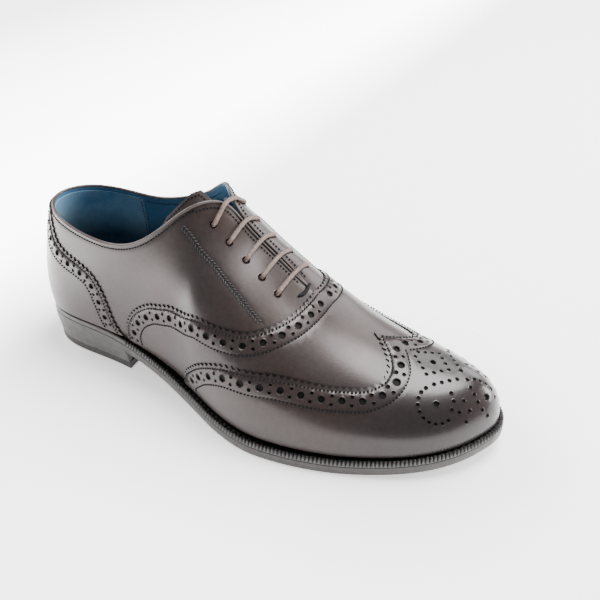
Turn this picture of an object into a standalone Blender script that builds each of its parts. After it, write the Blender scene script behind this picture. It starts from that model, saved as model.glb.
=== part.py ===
"""Right-foot full-brogue oxford shoe, built as a shoemaker puts it together.

Frame: metres, +Z up, +X towards the toe, -Y the outer (lateral) side of the foot.
The origin is on the floor under the middle of the heel.
"""

from collections import Counter, namedtuple

import bmesh
import bpy
from mathutils import Vector
from mathutils.geometry import delaunay_2d_cdt
import numpy as np

# Driving dimensions, in millimetres from the back of the heel
MM = 0.001
HEEL_CENTRE = 38.0  # distance from the back of the sole to the origin
GAP = 0.3  # room that neighbouring solids keep

UPPER_WALL = 2.0
OVERLAY = 1.1  # thickness of the vamp, cap and counter leathers
OVERLAY_LIFT = 0.75  # room under them, which their facets take up on the curves
OUTSOLE_THICK = 5.0
WELT_THICK = 3.0
WELT_UNDER = 6.0  # how far the welt runs in under the upper
INSOLE_THICK = 2.4
TOP_LIFT = 4.5
BREAST_X = 75.0  # front face of the heel
HEEL_TAPER = 1.8  # how much the heel is drawn in at the floor
EDGE_ROUND = 0.9  # rounding of the sole's edge

LACE_RADIUS = 1.25
EYELET_RADIUS = 2.1
TONGUE_THICK = 2.0

COLUMNS = 96  # sections round the upper
RINGS = 11  # points up each section
SHEET = 70.0  # millimetres of leather that one section stands for, when a border is drawn
OVERLAY_GRID = 8.0  # spacing of the points inside an overlay
OVERLAY_EDGE = 4.5  # spacing of the points on its border
OVERLAY_FOOT = 0.02  # overlays stop this share of a section above the welt

# Plan of the feather line, where upper meets welt. One row for each section, heel to toe
Plan = namedtuple("Plan", "x lateral medial ledge")
PLAN = [
    Plan(3.5, 0.0, 0.0, 1.4),
    Plan(8.0, -15.5, 15.5, 1.4),
    Plan(18.5, -25.0, 24.5, 1.5),
    Plan(38.0, -29.5, 28.5, 1.6),
    Plan(60.0, -30.0, 28.5, 1.9),
    Plan(85.0, -31.0, 27.0, 3.8),
    Plan(108.0, -34.5, 26.2, 5.2),
    Plan(124.0, -39.0, 27.3, 5.8),
    Plan(134.0, -42.4, 28.7, 6.0),
    Plan(146.0, -46.9, 31.2, 6.2),
    Plan(160.0, -51.2, 34.8, 6.3),
    Plan(174.0, -53.4, 38.2, 6.4),
    Plan(186.0, -53.0, 40.6, 6.4),
    Plan(202.0, -50.4, 42.5, 6.4),
    Plan(220.0, -45.2, 42.4, 6.4),
    Plan(240.0, -37.3, 39.6, 6.2),
    Plan(260.0, -26.0, 33.0, 6.0),
    Plan(272.6, -13.6, 25.0, 5.8),
    Plan(280.2, -1.0, 17.0, 5.6),
    Plan(282.6, 8.0, 8.0, 5.6),
]

# Edge of the opening, then the ridge over the toes. Same rows as the plan
Top = namedtuple("Top", "x lateral lateral_z medial medial_z")
TOP = [
    Top(8.5, 0.0, 88.0, 0.0, 88.0),
    Top(12.0, -10.0, 87.5, 10.5, 88.3),
    Top(20.5, -18.5, 86.5, 19.0, 87.8),
    Top(38.0, -26.0, 84.5, 26.5, 85.6),
    Top(60.0, -30.0, 83.0, 29.5, 84.3),
    Top(85.0, -30.5, 86.5, 28.5, 91.0),
    Top(107.0, -26.0, 101.5, 21.5, 103.5),
    Top(122.5, -15.5, 113.2, 12.5, 113.4),
    Top(130.3, -4.0, 110.6, 5.4, 109.6),
    Top(140.0, 0.9, 98.6, 3.7, 98.6),
    Top(155.0, 1.7, 86.1, 4.3, 86.1),
    Top(168.0, 2.5, 75.8, 4.5, 75.8),
    Top(177.5, 3.3, 68.7, 3.3, 68.7),
    Top(196.0, 3.3, 57.9, 3.3, 57.9),
    Top(216.0, 3.8, 49.6, 3.8, 49.6),
    Top(234.0, 4.9, 44.1, 4.9, 44.1),
    Top(248.0, 6.2, 41.0, 6.2, 41.0),
    Top(256.0, 7.2, 39.6, 7.2, 39.6),
    Top(259.5, 7.8, 39.1, 7.8, 39.1),
    Top(261.0, 8.0, 38.9, 8.0, 38.9),
]
THROAT_ROW = 12  # the first row where the two sides are one

# How each section leaves the welt, fills out and meets its top. Same rows again
Swell = namedtuple("Swell", "lateral_lean medial_lean rise roof end")
SWELL = [
    Swell(7.0, 7.0, 0.36, 0.36, 78.0),
    Swell(8.0, 8.0, 0.36, 0.36, 78.0),
    Swell(10.0, 10.0, 0.36, 0.36, 78.0),
    Swell(10.0, 13.0, 0.36, 0.36, 80.0),
    Swell(9.0, 14.0, 0.36, 0.36, 82.0),
    Swell(8.0, 18.0, 0.37, 0.36, 80.0),
    Swell(8.0, 18.0, 0.40, 0.36, 70.0),
    Swell(8.0, 17.0, 0.44, 0.38, 54.0),
    Swell(9.0, 15.0, 0.50, 0.53, 34.0),
    Swell(9.0, 14.0, 0.54, 0.64, 18.0),
    Swell(9.0, 13.0, 0.56, 0.69, 9.0),
    Swell(9.0, 12.0, 0.57, 0.70, 4.0),
    Swell(9.0, 11.0, 0.58, 0.68, 0.0),
    Swell(9.0, 9.0, 0.58, 0.62, 0.0),
    Swell(9.0, 8.0, 0.58, 0.57, 0.0),
    Swell(9.0, 7.0, 0.59, 0.57, 0.0),
    Swell(8.0, 5.0, 0.60, 0.58, 0.0),
    Swell(6.0, 4.0, 0.60, 0.60, 0.0),
    Swell(4.0, 4.0, 0.60, 0.60, 0.0),
    Swell(4.0, 4.0, 0.60, 0.60, 0.0),
]

# Underside of the outsole: seat, shank, flat tread and toe spring
Tread = namedtuple("Tread", "x z")
TREAD = [
    Tread(0.0, 16.2),
    Tread(50.0, 15.4),
    Tread(78.0, 12.9),
    Tread(104.0, 8.4),
    Tread(132.0, 3.6),
    Tread(158.0, 0.7),
    Tread(176.0, 0.0),
    Tread(216.0, 0.0),
    Tread(240.0, 1.3),
    Tread(266.0, 4.2),
    Tread(292.0, 8.2),
]


# Borders of the overlaid leathers, from the welt upwards: distance round the shoe, share of the section
Border = namedtuple("Border", "station share")
VAMP_EDGE = [
    Border(88.5, OVERLAY_FOOT),
    Border(88.5, 0.12),
    Border(92.5, 0.29),
    Border(99.0, 0.41),
    Border(110.0, 0.485),
    Border(121.7, 0.469),
    Border(138.3, 0.425),
    Border(155.4, 0.459),
    Border(168.2, 0.496),
    Border(180.6, 0.562),
    Border(190.3, 0.664),
    Border(197.5, 0.772),
    Border(201.3, 0.895),
    Border(202.8, 1.0),
]
CAP_EDGE = [
    Border(135.5, OVERLAY_FOOT),
    Border(138.6, 0.088),
    Border(147.1, 0.161),
    Border(157.1, 0.234),
    Border(170.8, 0.318),
    Border(192.0, 0.403),
    Border(210.9, 0.467),
    Border(229.1, 0.529),
    Border(241.6, 0.592),
    Border(247.1, 0.679),
    Border(247.6, 0.766),
    Border(244.0, 0.865),
    Border(239.0, 0.94),
    Border(234.0, 1.0),
]
COUNTER_EDGE = [
    Border(85.0, OVERLAY_FOOT),
    Border(81.5, 0.12),
    Border(78.5, 0.32),
    Border(75.0, 0.51),
    Border(69.0, 0.645),
    Border(60.0, 0.71),
    Border(48.0, 0.745),
    Border(40.0, 0.79),
    Border(35.0, 0.855),
    Border(29.5, 0.93),
    Border(24.0, 0.975),
]

# Where the laces pass through the lateral facing. The medial facing mirrors it
Eyelet = namedtuple("Eyelet", "station share")
EYELETS = [
    Eyelet(146.8, 0.90),
    Eyelet(157.5, 0.88),
    Eyelet(167.6, 0.872),
    Eyelet(177.2, 0.858),
    Eyelet(187.2, 0.842),
]

# The tongue, from its ear by the lateral corner to the throat: how far it stands past the collar, how far it
# reaches down inside and how deep it lies under the face of the facings
TongueRow = namedtuple("TongueRow", "station rise below depth")
TONGUE = [
    TongueRow(112.0, -3.0, 8.0, 4.6),
    TongueRow(114.0, 0.5, 10.5, 4.6),
    TongueRow(118.0, 6.0, 13.0, 4.6),
    TongueRow(124.0, 8.0, 16.0, 4.6),
    TongueRow(130.0, 9.5, 18.0, 4.7),
    TongueRow(136.0, 8.0, 20.0, 4.9),
    TongueRow(139.0, 5.0, 21.0, 5.2),
    TongueRow(143.0, 1.5, 22.0, 5.5),
    TongueRow(147.0, 0.0, 23.0, 5.7),
    TongueRow(170.0, 0.0, 20.5, 5.7),
    TongueRow(206.0, 0.0, 17.0, 5.7),
]
TONGUE_JOIN = 147.0  # its two sides are one from here to the throat
TONGUE_MEDIAL = 139.0  # its medial side starts here, and stays this far under the collar
MEDIAL_RISE = -6.0

# Leathers and the rest, as linear colours
LEATHER = (0.070, 0.058, 0.055, 1.0)
SOLE_EDGE = (0.110, 0.095, 0.090, 1.0)
LIFT = (0.040, 0.036, 0.036, 1.0)
INSOLE = (0.030, 0.075, 0.130, 1.0)
CORD = (0.200, 0.165, 0.150, 1.0)


def slopes_of(x, y):
    """Slopes of a monotone cubic through the points, so that flats stay flat."""
    step = np.diff(x)
    rise = np.diff(y) / step
    slope = np.zeros(len(x))
    slope[0], slope[-1] = rise[0], rise[-1]
    for i in range(1, len(x) - 1):
        if rise[i - 1] * rise[i] > 0:
            a = 2 * step[i] + step[i - 1]
            b = step[i] + 2 * step[i - 1]
            slope[i] = (a + b) / (a / rise[i - 1] + b / rise[i])
    return slope


def monotone(x, y, at):
    """The monotone cubic through (x, y), read at the values given."""
    x, y, at = np.asarray(x, float), np.asarray(y, float), np.asarray(at, float)
    slope = slopes_of(x, y)
    i = np.clip(np.searchsorted(x, at) - 1, 0, len(x) - 2)
    h = x[i + 1] - x[i]
    s = np.clip((at - x[i]) / h, 0.0, 1.0)
    return (
        y[i] * (1 + 2 * s) * (1 - s) ** 2
        + slope[i] * h * s * (1 - s) ** 2
        + y[i + 1] * s * s * (3 - 2 * s)
        + slope[i + 1] * h * s * s * (s - 1)
    )


class Loop:
    """Smooth closed curves through rows of values, such as the feather line and what goes with it."""

    def __init__(self, knots, length, values):
        self.knots, self.length, self.values = knots, length, values
        n = len(knots)
        step = np.append(knots[1:], length) - knots
        system = np.zeros((n, n))
        right = np.zeros((n, values.shape[1]))
        for i in range(n):
            before, after = step[i - 1], step[i]
            system[i, i - 1] += before
            system[i, i] += 2 * (before + after)
            system[i, (i + 1) % n] += after
            right[i] = 6 * (
                (values[(i + 1) % n] - values[i]) / after
                - (values[i] - values[i - 1]) / before
            )
        self.step = step
        self.bend = np.linalg.solve(system, right)

    def __call__(self, at):
        at = np.mod(np.asarray(at, float), self.length)
        i = np.clip(np.searchsorted(self.knots, at, side="right") - 1, 0, len(self.knots) - 1)
        j = (i + 1) % len(self.knots)
        h = self.step[i][..., None]
        b = (at - self.knots[i])[..., None]
        a = h - b
        return (
            (self.bend[i] * a**3 + self.bend[j] * b**3) / (6 * h)
            + (self.values[i] / h - self.bend[i] * h / 6) * a
            + (self.values[j] / h - self.bend[j] * h / 6) * b
        )


def row_stations():
    """Distance along the outline of each table row, and of the toe tip, the mean of both sides."""
    lateral = np.array([(r.x, r.lateral) for r in PLAN])
    medial = np.array([(r.x, r.medial) for r in PLAN])
    steps = [np.hypot(*np.diff(side, axis=0).T) for side in (lateral, medial)]
    return np.concatenate([[0.0], np.cumsum(np.mean(steps, axis=0))])


STATION = row_stations()
TOE = STATION[-1]  # the loop runs up the lateral side to the toe, and back on the medial side
THROAT = STATION[THROAT_ROW]
THROAT_EASE = 45.0  # the facings take on the slope of the ridge over this distance


def outline_rows():
    """One row of values for each knot round the shoe: plan, top, swell and ledge."""
    rows = []
    for p, t, s in zip(PLAN, TOP, SWELL):
        side = [p.x, p.lateral, t.x, t.lateral, t.lateral_z, s.lateral_lean]
        rows.append(side + [s.rise, s.roof, s.end, p.ledge])
    for p, t, s in list(zip(PLAN, TOP, SWELL))[-2:0:-1]:
        side = [p.x, p.medial, t.x, t.medial, t.medial_z, s.medial_lean]
        rows.append(side + [s.rise, s.roof, s.end, p.ledge])
    return np.array(rows)


KNOTS = np.concatenate([STATION, 2 * TOE - STATION[-2:0:-1]])
OUTLINE = Loop(KNOTS, 2 * TOE, outline_rows())


def tread_z(x):
    """Height of the outsole's underside."""
    return monotone([r.x for r in TREAD], [r.z for r in TREAD], x)


def welt_top_z(x):
    """Height of the welt's upper face, which the upper stands on."""
    return tread_z(x) + OUTSOLE_THICK + GAP + WELT_THICK


def station_of(x):
    """Station along the outline of a distance from the heel."""
    return np.interp(x, [r.x for r in PLAN], STATION)


def plan_normal(w):
    """Outward direction of the feather line, in plan."""
    step = 0.5
    along = OUTLINE(np.asarray(w) + step)[..., :2] - OUTLINE(np.asarray(w) - step)[..., :2]
    along /= np.linalg.norm(along, axis=-1, keepdims=True)
    return np.stack([along[..., 1], -along[..., 0]], -1)


def ridge_slope(x):
    """Fall of the ridge towards the toe."""
    rows = TOP[THROAT_ROW:]
    xs, zs = [r.x for r in rows], [r.lateral_z for r in rows]
    return np.interp(x, xs, np.gradient(zs, xs))


def last(w, v):
    """A point on the last: w round the shoe, v from the welt (0) to the top of the section (1)."""
    w, v = np.broadcast_arrays(np.asarray(w, float), np.asarray(v, float))
    row = OUTLINE(w)
    other = OUTLINE(2 * TOE - w)
    side = np.mod(w, 2 * TOE)
    closed = np.minimum(side, 2 * TOE - side) >= THROAT - 1e-6
    foot = np.stack([row[..., 0], row[..., 1], welt_top_z(row[..., 0]) + GAP], -1)
    top = np.where(closed[..., None], (row[..., 2:5] + other[..., 2:5]) / 2, row[..., 2:5])
    out = plan_normal(w)
    rise, roof = row[..., 6], row[..., 7]
    lean, end = np.radians(row[..., 5]), np.radians(row[..., 8])
    reach = np.linalg.norm(top[..., :2] - foot[..., :2], axis=-1)
    height = top[..., 2] - foot[..., 2]
    inward = -out * 10.0 + (top[..., :2] - foot[..., :2])
    inward /= np.linalg.norm(inward, axis=-1, keepdims=True)
    pull = (rise * height)[..., None]
    p1 = foot + pull * np.concatenate([out * np.sin(lean)[..., None], np.cos(lean)[..., None]], -1)
    joining = np.clip(1 + (np.minimum(side, 2 * TOE - side) - THROAT) / THROAT_EASE, 0.0, 1.0)
    joining = joining * joining * (3 - 2 * joining)
    climb = np.sin(end) + np.cos(end) * joining * ridge_slope(top[..., 0]) * inward[..., 0]
    arrive = np.concatenate([inward * np.cos(end)[..., None], climb[..., None]], -1)
    p2 = top - (roof * (reach * np.cos(end) + height * np.sin(end)))[..., None] * arrive
    v = v[..., None]
    return foot * (1 - v) ** 3 + 3 * p1 * v * (1 - v) ** 2 + 3 * p2 * v * v * (1 - v) + top * v**3


def last_normal(w, v):
    """Outward direction of the last's surface."""
    dw, dv = 0.4, 0.004
    v = np.asarray(v, float)
    low, high = np.clip(v - dv, 0.0, 1.0), np.clip(v + dv, 0.0, 1.0)
    beside = np.minimum(v, 0.97)  # the sections run together at the toe's pole
    along = last(np.asarray(w) + dw, beside) - last(np.asarray(w) - dw, beside)
    n = np.cross(along, last(w, high) - last(w, low))
    return n / np.maximum(np.linalg.norm(n, axis=-1, keepdims=True), 1e-9)


def shell_point(w, v, height):
    """A point this far outside the last, with one shared direction along the ridge."""
    w, v = np.broadcast_arrays(np.asarray(w, float), np.asarray(v, float))
    normal = last_normal(w, v)
    mirrored = last_normal(2 * TOE - w, v)
    side = np.mod(w, 2 * TOE)
    ridge = (v > 1 - 1e-9) & (np.minimum(side, 2 * TOE - side) >= THROAT - 1e-6)
    both = normal + mirrored
    both /= np.linalg.norm(both, axis=-1, keepdims=True)
    normal = np.where(ridge[..., None], both, normal)
    return last(w, v) + normal * height


def place(points):
    """Millimetres from the heel's back to metres from the origin."""
    points = np.array(points, float)
    points[..., 0] -= HEEL_CENTRE
    return points * MM


def material(name, colour, roughness):
    made = bpy.data.materials.new(name)
    made.use_nodes = True
    shader = made.node_tree.nodes["Principled BSDF"]
    shader.inputs["Base Color"].default_value = colour
    shader.inputs["Roughness"].default_value = roughness
    return made


def add_object(name, data, skin):
    obj = bpy.data.objects.new(name, data)
    data.materials.append(skin)
    bpy.context.scene.collection.objects.link(obj)
    return obj


def add_mesh(name, points, faces, skin):
    mesh = bpy.data.meshes.new(name)
    mesh.from_pydata(place(points).tolist(), [], [list(map(int, f)) for f in faces])
    mesh.validate()
    return add_object(name, mesh, skin)


def thicken(sheet, faces, low, high):
    """A solid leather between two heights over the last. Points that meet on the ridge are joined."""
    w, v = np.asarray(sheet, float).T
    w = np.mod(w, 2 * TOE)
    side = np.minimum(w, 2 * TOE - w)
    w = np.where((v > 1 - 1e-9) & (side >= THROAT - 1e-6), side, w)
    own, index = np.unique(np.round(np.column_stack([w, v]), 5), axis=0, return_inverse=True)
    index = index.reshape(-1)
    outer, inner = shell_point(*own.T, high), shell_point(*own.T, low)
    count = len(own)
    skin = []
    for face in faces:
        corners = [index[c] for c in face]
        corners = [c for i, c in enumerate(corners) if c != corners[i - 1]]
        if len(corners) > 2:
            skin.append(corners)
    folded = Counter(frozenset(f) for f in skin)  # faces that the toe's pole lays on each other
    skin = [f for f in skin if folded[frozenset(f)] == 1]
    sides = {(f[i - 1], f[i]) for f in skin for i in range(len(f))}
    solid = list(skin)
    solid += [[c + count for c in reversed(f)] for f in skin]
    solid += [[b, a, a + count, b + count] for a, b in sides if (b, a) not in sides]
    return np.concatenate([outer, inner]), solid


def smooth(rows, spacing):
    """Points about this far apart on a smooth curve through border rows."""
    points = np.array(rows, float) * (1.0, SHEET)
    reach = np.concatenate([[0.0], np.cumsum(np.hypot(*np.diff(points, axis=0).T))])
    heading = np.gradient(points, reach, axis=0)
    at = np.linspace(0.0, reach[-1], max(3, round(reach[-1] / spacing) + 1))
    i = np.clip(np.searchsorted(reach, at, side="right") - 1, 0, len(reach) - 2)
    h = (reach[i + 1] - reach[i])[:, None]
    s = (at - reach[i])[:, None] / h
    curve = (
        points[i] * (1 + 2 * s) * (1 - s) ** 2
        + heading[i] * h * s * (1 - s) ** 2
        + points[i + 1] * s * s * (3 - 2 * s)
        + heading[i + 1] * h * s * s * (s - 1)
    )
    return curve / (1.0, SHEET)


def mirrored(border):
    """The same border on the medial side, run the other way."""
    return (border * (-1.0, 1.0) + (2 * TOE, 0.0))[::-1]


def forefoot_border(edge, spacing):
    """Closed border of a leather that wraps the toe: one edge, the ridge, the other edge, the welt."""
    lateral = smooth(edge, spacing)
    run = np.linspace(lateral[-1, 0], TOE, round((TOE - lateral[-1, 0]) / spacing) + 1)[1:]
    ridge = np.column_stack([np.concatenate([run, 2 * TOE - run[-2::-1]]), np.ones(2 * len(run) - 1)])
    medial = mirrored(lateral)
    foot = np.arange(medial[-1, 0] - spacing, lateral[0, 0] + 0.5 * spacing, -spacing)
    bottom = np.column_stack([foot, np.full(len(foot), OVERLAY_FOOT)])
    return np.concatenate([lateral, ridge, medial, bottom])


def back_border(edge, spacing):
    """Closed border of a leather that wraps the heel."""
    lateral = smooth(edge, spacing)
    medial = mirrored(lateral) - (2 * TOE, 0.0)
    top = np.linspace(lateral[-1, 0], medial[0, 0], round(2 * lateral[-1, 0] / spacing) + 1)[1:-1]
    foot = np.arange(medial[-1, 0] + spacing, lateral[0, 0] - 0.5 * spacing, spacing)
    return np.concatenate([
        lateral,
        np.column_stack([top, np.full(len(top), lateral[-1, 1])]),
        medial,
        np.column_stack([foot, np.full(len(foot), OVERLAY_FOOT)]),
    ])


def inside(points, border):
    """Which points lie within a closed border."""
    x, y = points[:, 0][:, None], points[:, 1][:, None]
    ax, ay = border.T
    bx, by = np.roll(border, -1, axis=0).T
    crosses = (ay > y) != (by > y)
    rise = np.where(by == ay, 1e-12, by - ay)
    return (crosses & (x < ax + (y - ay) * (bx - ax) / rise)).sum(axis=1) % 2 == 1


def patch(border, spacing):
    """Triangles that fill a closed border of the sheet."""
    border = border * (1.0, SHEET)
    low, high = border.min(axis=0), border.max(axis=0)
    grid = np.stack(np.meshgrid(*[np.arange(a, b, spacing) for a, b in zip(low, high)]), -1).reshape(-1, 2)
    away = np.linalg.norm(grid[:, None] - border[None], axis=-1).min(axis=1)
    grid = grid[inside(grid, border) & (away > 0.5 * spacing)]
    points = np.concatenate([border, grid])
    found = delaunay_2d_cdt([Vector(p) for p in points], [], [list(range(len(border)))], 1, 1e-5)
    kept = [origin[0] for origin in found[3]]
    return points[kept] / (1.0, SHEET), found[2]


def make_upper(leather):
    """Quarters and facings: one hollow wall, open at the collar, the throat and underneath."""
    half = COLUMNS // 2
    behind = round(half * THROAT / TOE)
    side = np.concatenate([
        np.linspace(0.0, THROAT, behind + 1),
        np.linspace(THROAT, TOE, half - behind + 1)[1:],
    ])
    around = np.concatenate([side, 2 * TOE - side[-2:0:-1]])
    share = np.linspace(0.0, 1.0, RINGS + 1)
    sheet = np.stack(np.meshgrid(around, share, indexing="ij"), -1).reshape(-1, 2)
    faces = []
    for k in range(len(around)):
        a, b = k * len(share), (k + 1) % len(around) * len(share)
        faces += [(a + m, b + m, b + m + 1, a + m + 1) for m in range(RINGS)]
    points, faces = thicken(sheet, faces, -UPPER_WALL, 0.0)
    upper = add_mesh("upper", points, faces, leather)
    cutter = add_cutters(leather)
    cut = upper.modifiers.new("eyelets", "BOOLEAN")
    cut.operation = "DIFFERENCE"
    cut.solver = "EXACT"
    cut.object = cutter
    return upper


def eyelet_points():
    """Centres and directions of the eyelets, lateral then medial, from the top down."""
    found = []
    for eyelet in EYELETS:
        pair = []
        for w in (eyelet.station, 2 * TOE - eyelet.station):
            pair.append((last(w, eyelet.share), last_normal(w, eyelet.share)))
        found.append(pair)
    return found


def add_cutters(skin):
    """Punches for the eyelets, out of the render."""
    mesh = bpy.data.meshes.new("eyelet_punches")
    punches = bmesh.new()
    for pair in eyelet_points():
        for centre, normal in pair:
            turn = Vector(normal).to_track_quat("Z", "Y").to_matrix().to_4x4()
            turn.translation = Vector(place(centre - normal * 0.5 * UPPER_WALL))
            bmesh.ops.create_cone(
                punches,
                cap_ends=True,
                segments=14,
                radius1=EYELET_RADIUS * MM,
                radius2=EYELET_RADIUS * MM,
                depth=4 * UPPER_WALL * MM,
                matrix=turn,
            )
    punches.to_mesh(mesh)
    punches.free()
    cutter = add_object("eyelet_punches", mesh, skin)
    cutter.hide_render = True
    return cutter


def make_overlay(name, border, low, leather):
    """A leather laid over the upper, this far above it."""
    sheet, faces = patch(border, OVERLAY_GRID)
    points, solid = thicken(sheet, faces, low, low + OVERLAY)
    return add_mesh(name, points, solid, leather)


def sole_ring(w, out, height):
    """Points this far outside the feather line, at a height above the outsole's underside."""
    w = np.asarray(w, float)
    xy = OUTLINE(w)[..., :2] + plan_normal(w) * np.asarray(out)[..., None]
    return np.concatenate([xy, (tread_z(xy[..., 0]) + height)[..., None]], -1)


def stacked(rings):
    """One solid through closed rings, its two ends closed by strips from side to side."""
    count = len(rings[0])
    faces = []
    for r in range(len(rings) - 1):
        for i in range(count):
            j = (i + 1) % count
            faces.append((r * count + i, r * count + j, (r + 1) * count + j, (r + 1) * count + i))
    for i in range(count // 2):
        strip = list(dict.fromkeys([i, i + 1, count - i - 1, (count - i) % count]))
        faces.append(strip[::-1])
        faces.append([(len(rings) - 1) * count + c for c in strip])
    return np.concatenate(rings), faces


def swept(sections):
    """One solid along a row of like sections, with both ends closed."""
    rows, count = sections.shape[:2]
    faces = []
    for r in range(rows - 1):
        for i in range(count):
            j = (i + 1) % count
            faces.append((r * count + j, r * count + i, (r + 1) * count + i, (r + 1) * count + j))
    faces.append(list(range(count)))
    faces.append([(rows - 1) * count + i for i in range(count)][::-1])
    return sections.reshape(-1, 3), faces


def make_outsole(skin):
    w = np.arange(80) * 2 * TOE / 80
    ledge = OUTLINE(w)[:, 9]
    rings = [
        sole_ring(w, ledge - EDGE_ROUND, 0.0),
        sole_ring(w, ledge, EDGE_ROUND),
        sole_ring(w, ledge, OUTSOLE_THICK - 0.5 * EDGE_ROUND),
        sole_ring(w, ledge - 0.5 * EDGE_ROUND, OUTSOLE_THICK),
    ]
    return add_mesh("outsole", *stacked(rings), skin)


def welt_strip(name, w, skin):
    """A strip on the outsole's edge that runs in under the upper."""
    ledge = OUTLINE(w)[:, 9]
    low, high = OUTSOLE_THICK + GAP, OUTSOLE_THICK + GAP + WELT_THICK
    under = np.full(len(w), -WELT_UNDER)
    corners = [
        sole_ring(w, under, low),
        sole_ring(w, ledge - 0.3, low),
        sole_ring(w, ledge - 0.3, high - 0.6),
        sole_ring(w, ledge - 0.9, high),
        sole_ring(w, under, high),
    ]
    return add_mesh(name, *swept(np.stack(corners, axis=1)), skin)


def make_insole(skin):
    w = np.arange(64) * 2 * TOE / 64
    low = OUTSOLE_THICK + WELT_THICK + 2 * GAP
    inset = np.full(len(w), -UPPER_WALL - 0.9)
    rings = [sole_ring(w, inset, low), sole_ring(w, inset, low + INSOLE_THICK)]
    return add_mesh("insole", *stacked(rings), skin)


def heel_ring(draw_in, height_of):
    """Outline of the heel, drawn in from the sole's edge, with its hollowed front face."""
    side = np.linspace(0.0, station_of(BREAST_X), 16)
    lateral = sole_ring(side, OUTLINE(side)[:, 9] - draw_in, 0.0)
    medial = sole_ring(2 * TOE - side, OUTLINE(2 * TOE - side)[:, 9] - draw_in, 0.0)
    front = (lateral[-1] + medial[-1]) / 2 - (3.0, 0.0, 0.0)
    ring = np.concatenate([lateral, [front], medial[:0:-1]])
    ring[:, 2] = height_of(ring[:, 0])
    return ring


def make_heel(stack_skin, lift_skin):
    taper = HEEL_TAPER
    rings = [
        heel_ring(taper, lambda x: np.full(len(x), TOP_LIFT + GAP)),
        heel_ring(0.3 * taper, lambda x: tread_z(x) - 2.0),
        heel_ring(0.3, lambda x: tread_z(x) - GAP),
    ]
    add_mesh("heel_stack", *stacked(rings), stack_skin)
    rings = [
        heel_ring(taper + 0.7, lambda x: np.zeros(len(x))),
        heel_ring(taper, lambda x: np.full(len(x), 0.7)),
        heel_ring(taper, lambda x: np.full(len(x), TOP_LIFT)),
    ]
    add_mesh("heel_top_lift", *stacked(rings), lift_skin)


def tongue_side(w, row, depth, points):
    """Points up one side of the tongue, from its lower edge to its free edge."""
    share = np.linspace(0.3, 1.0, 200)
    line = last(w, share)
    steps = np.linalg.norm(np.diff(line[::-1], axis=0), axis=1)
    down = np.concatenate([[0.0], np.cumsum(steps)])
    reach = np.linspace(-row.below, row.rise, points)
    at = np.interp(np.maximum(-reach, 0.0), down, share[::-1])
    past = (line[-1] - line[-8]) / np.linalg.norm(line[-1] - line[-8])
    return shell_point(np.full(points, w), at, -depth) + past * np.maximum(reach, 0.0)[:, None]


def tongue_faces(stations, points):
    """Corners of the tongue's faces, lateral rows first, then medial. Joined rows share their last point."""
    rows = len(stations)
    lateral = np.arange(rows * points).reshape(rows, points)
    medial = lateral + rows * points
    joined = np.asarray(stations) >= TONGUE_JOIN
    medial[joined, -1] = lateral[joined, -1]
    faces = []
    for i in range(rows - 1):
        for j in range(points - 1):
            a, b = lateral[i, j : j + 2], lateral[i + 1, j : j + 2]
            faces.append([a[0], b[0], b[1], a[1]])
            if stations[i] >= TONGUE_MEDIAL:
                a, b = medial[i, j : j + 2], medial[i + 1, j : j + 2]
                faces.append([a[1], b[1], b[0], a[0]])
    return faces


def tongue_sheet(stations, points, deeper):
    """Points of the tongue this much deeper than its face, lateral rows first, then medial."""
    table = np.array(TONGUE)
    lateral, medial = [], []
    for station in stations:
        row = TongueRow(station, *[np.interp(station, table[:, 0], table[:, k]) for k in (1, 2, 3)])
        lateral.append(tongue_side(station, row, row.depth + deeper, points))
        if station < TONGUE_JOIN:
            row = row._replace(rise=MEDIAL_RISE)
        medial.append(tongue_side(2 * TOE - station, row, row.depth + deeper, points))
        if station >= TONGUE_JOIN:
            lateral[-1][-1] = medial[-1][-1] = (lateral[-1][-1] + medial[-1][-1]) / 2
    return np.concatenate(lateral + medial)


def slab(outer, inner, faces):
    """A solid between two like sheets of points. Points that no face uses are left out."""
    used, index = np.unique(np.concatenate(faces), return_inverse=True)
    count, ends = len(used), np.cumsum([len(f) for f in faces])[:-1]
    skin = [list(f) for f in np.split(index.reshape(-1), ends)]
    sides = {(f[i - 1], f[i]) for f in skin for i in range(len(f))}
    solid = skin + [[c + count for c in reversed(f)] for f in skin]
    solid += [[b, a, a + count, b + count] for a, b in sides if (b, a) not in sides]
    return np.concatenate([outer[used], inner[used]]), solid


def make_tongue(leather):
    stations = [row.station for row in TONGUE[:-1]] + [182.0, 194.0, TONGUE[-1].station]
    outer, inner = (tongue_sheet(stations, 6, deeper) for deeper in (0.0, TONGUE_THICK))
    points, faces = slab(outer, inner, tongue_faces(stations, 6))
    return add_mesh("tongue", points, faces, leather)


def bar_stations(station, share, shares, middle):
    """Stations of a lace bar that runs straight across: it meets the ridge at this distance from the heel."""
    along = np.arange(TONGUE_MEDIAL, THROAT, 0.5)
    crossing = np.interp(middle, last(along, np.ones(len(along)))[:, 0], along)
    return station + (crossing - station) * (shares - share) / (1 - share)


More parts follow.
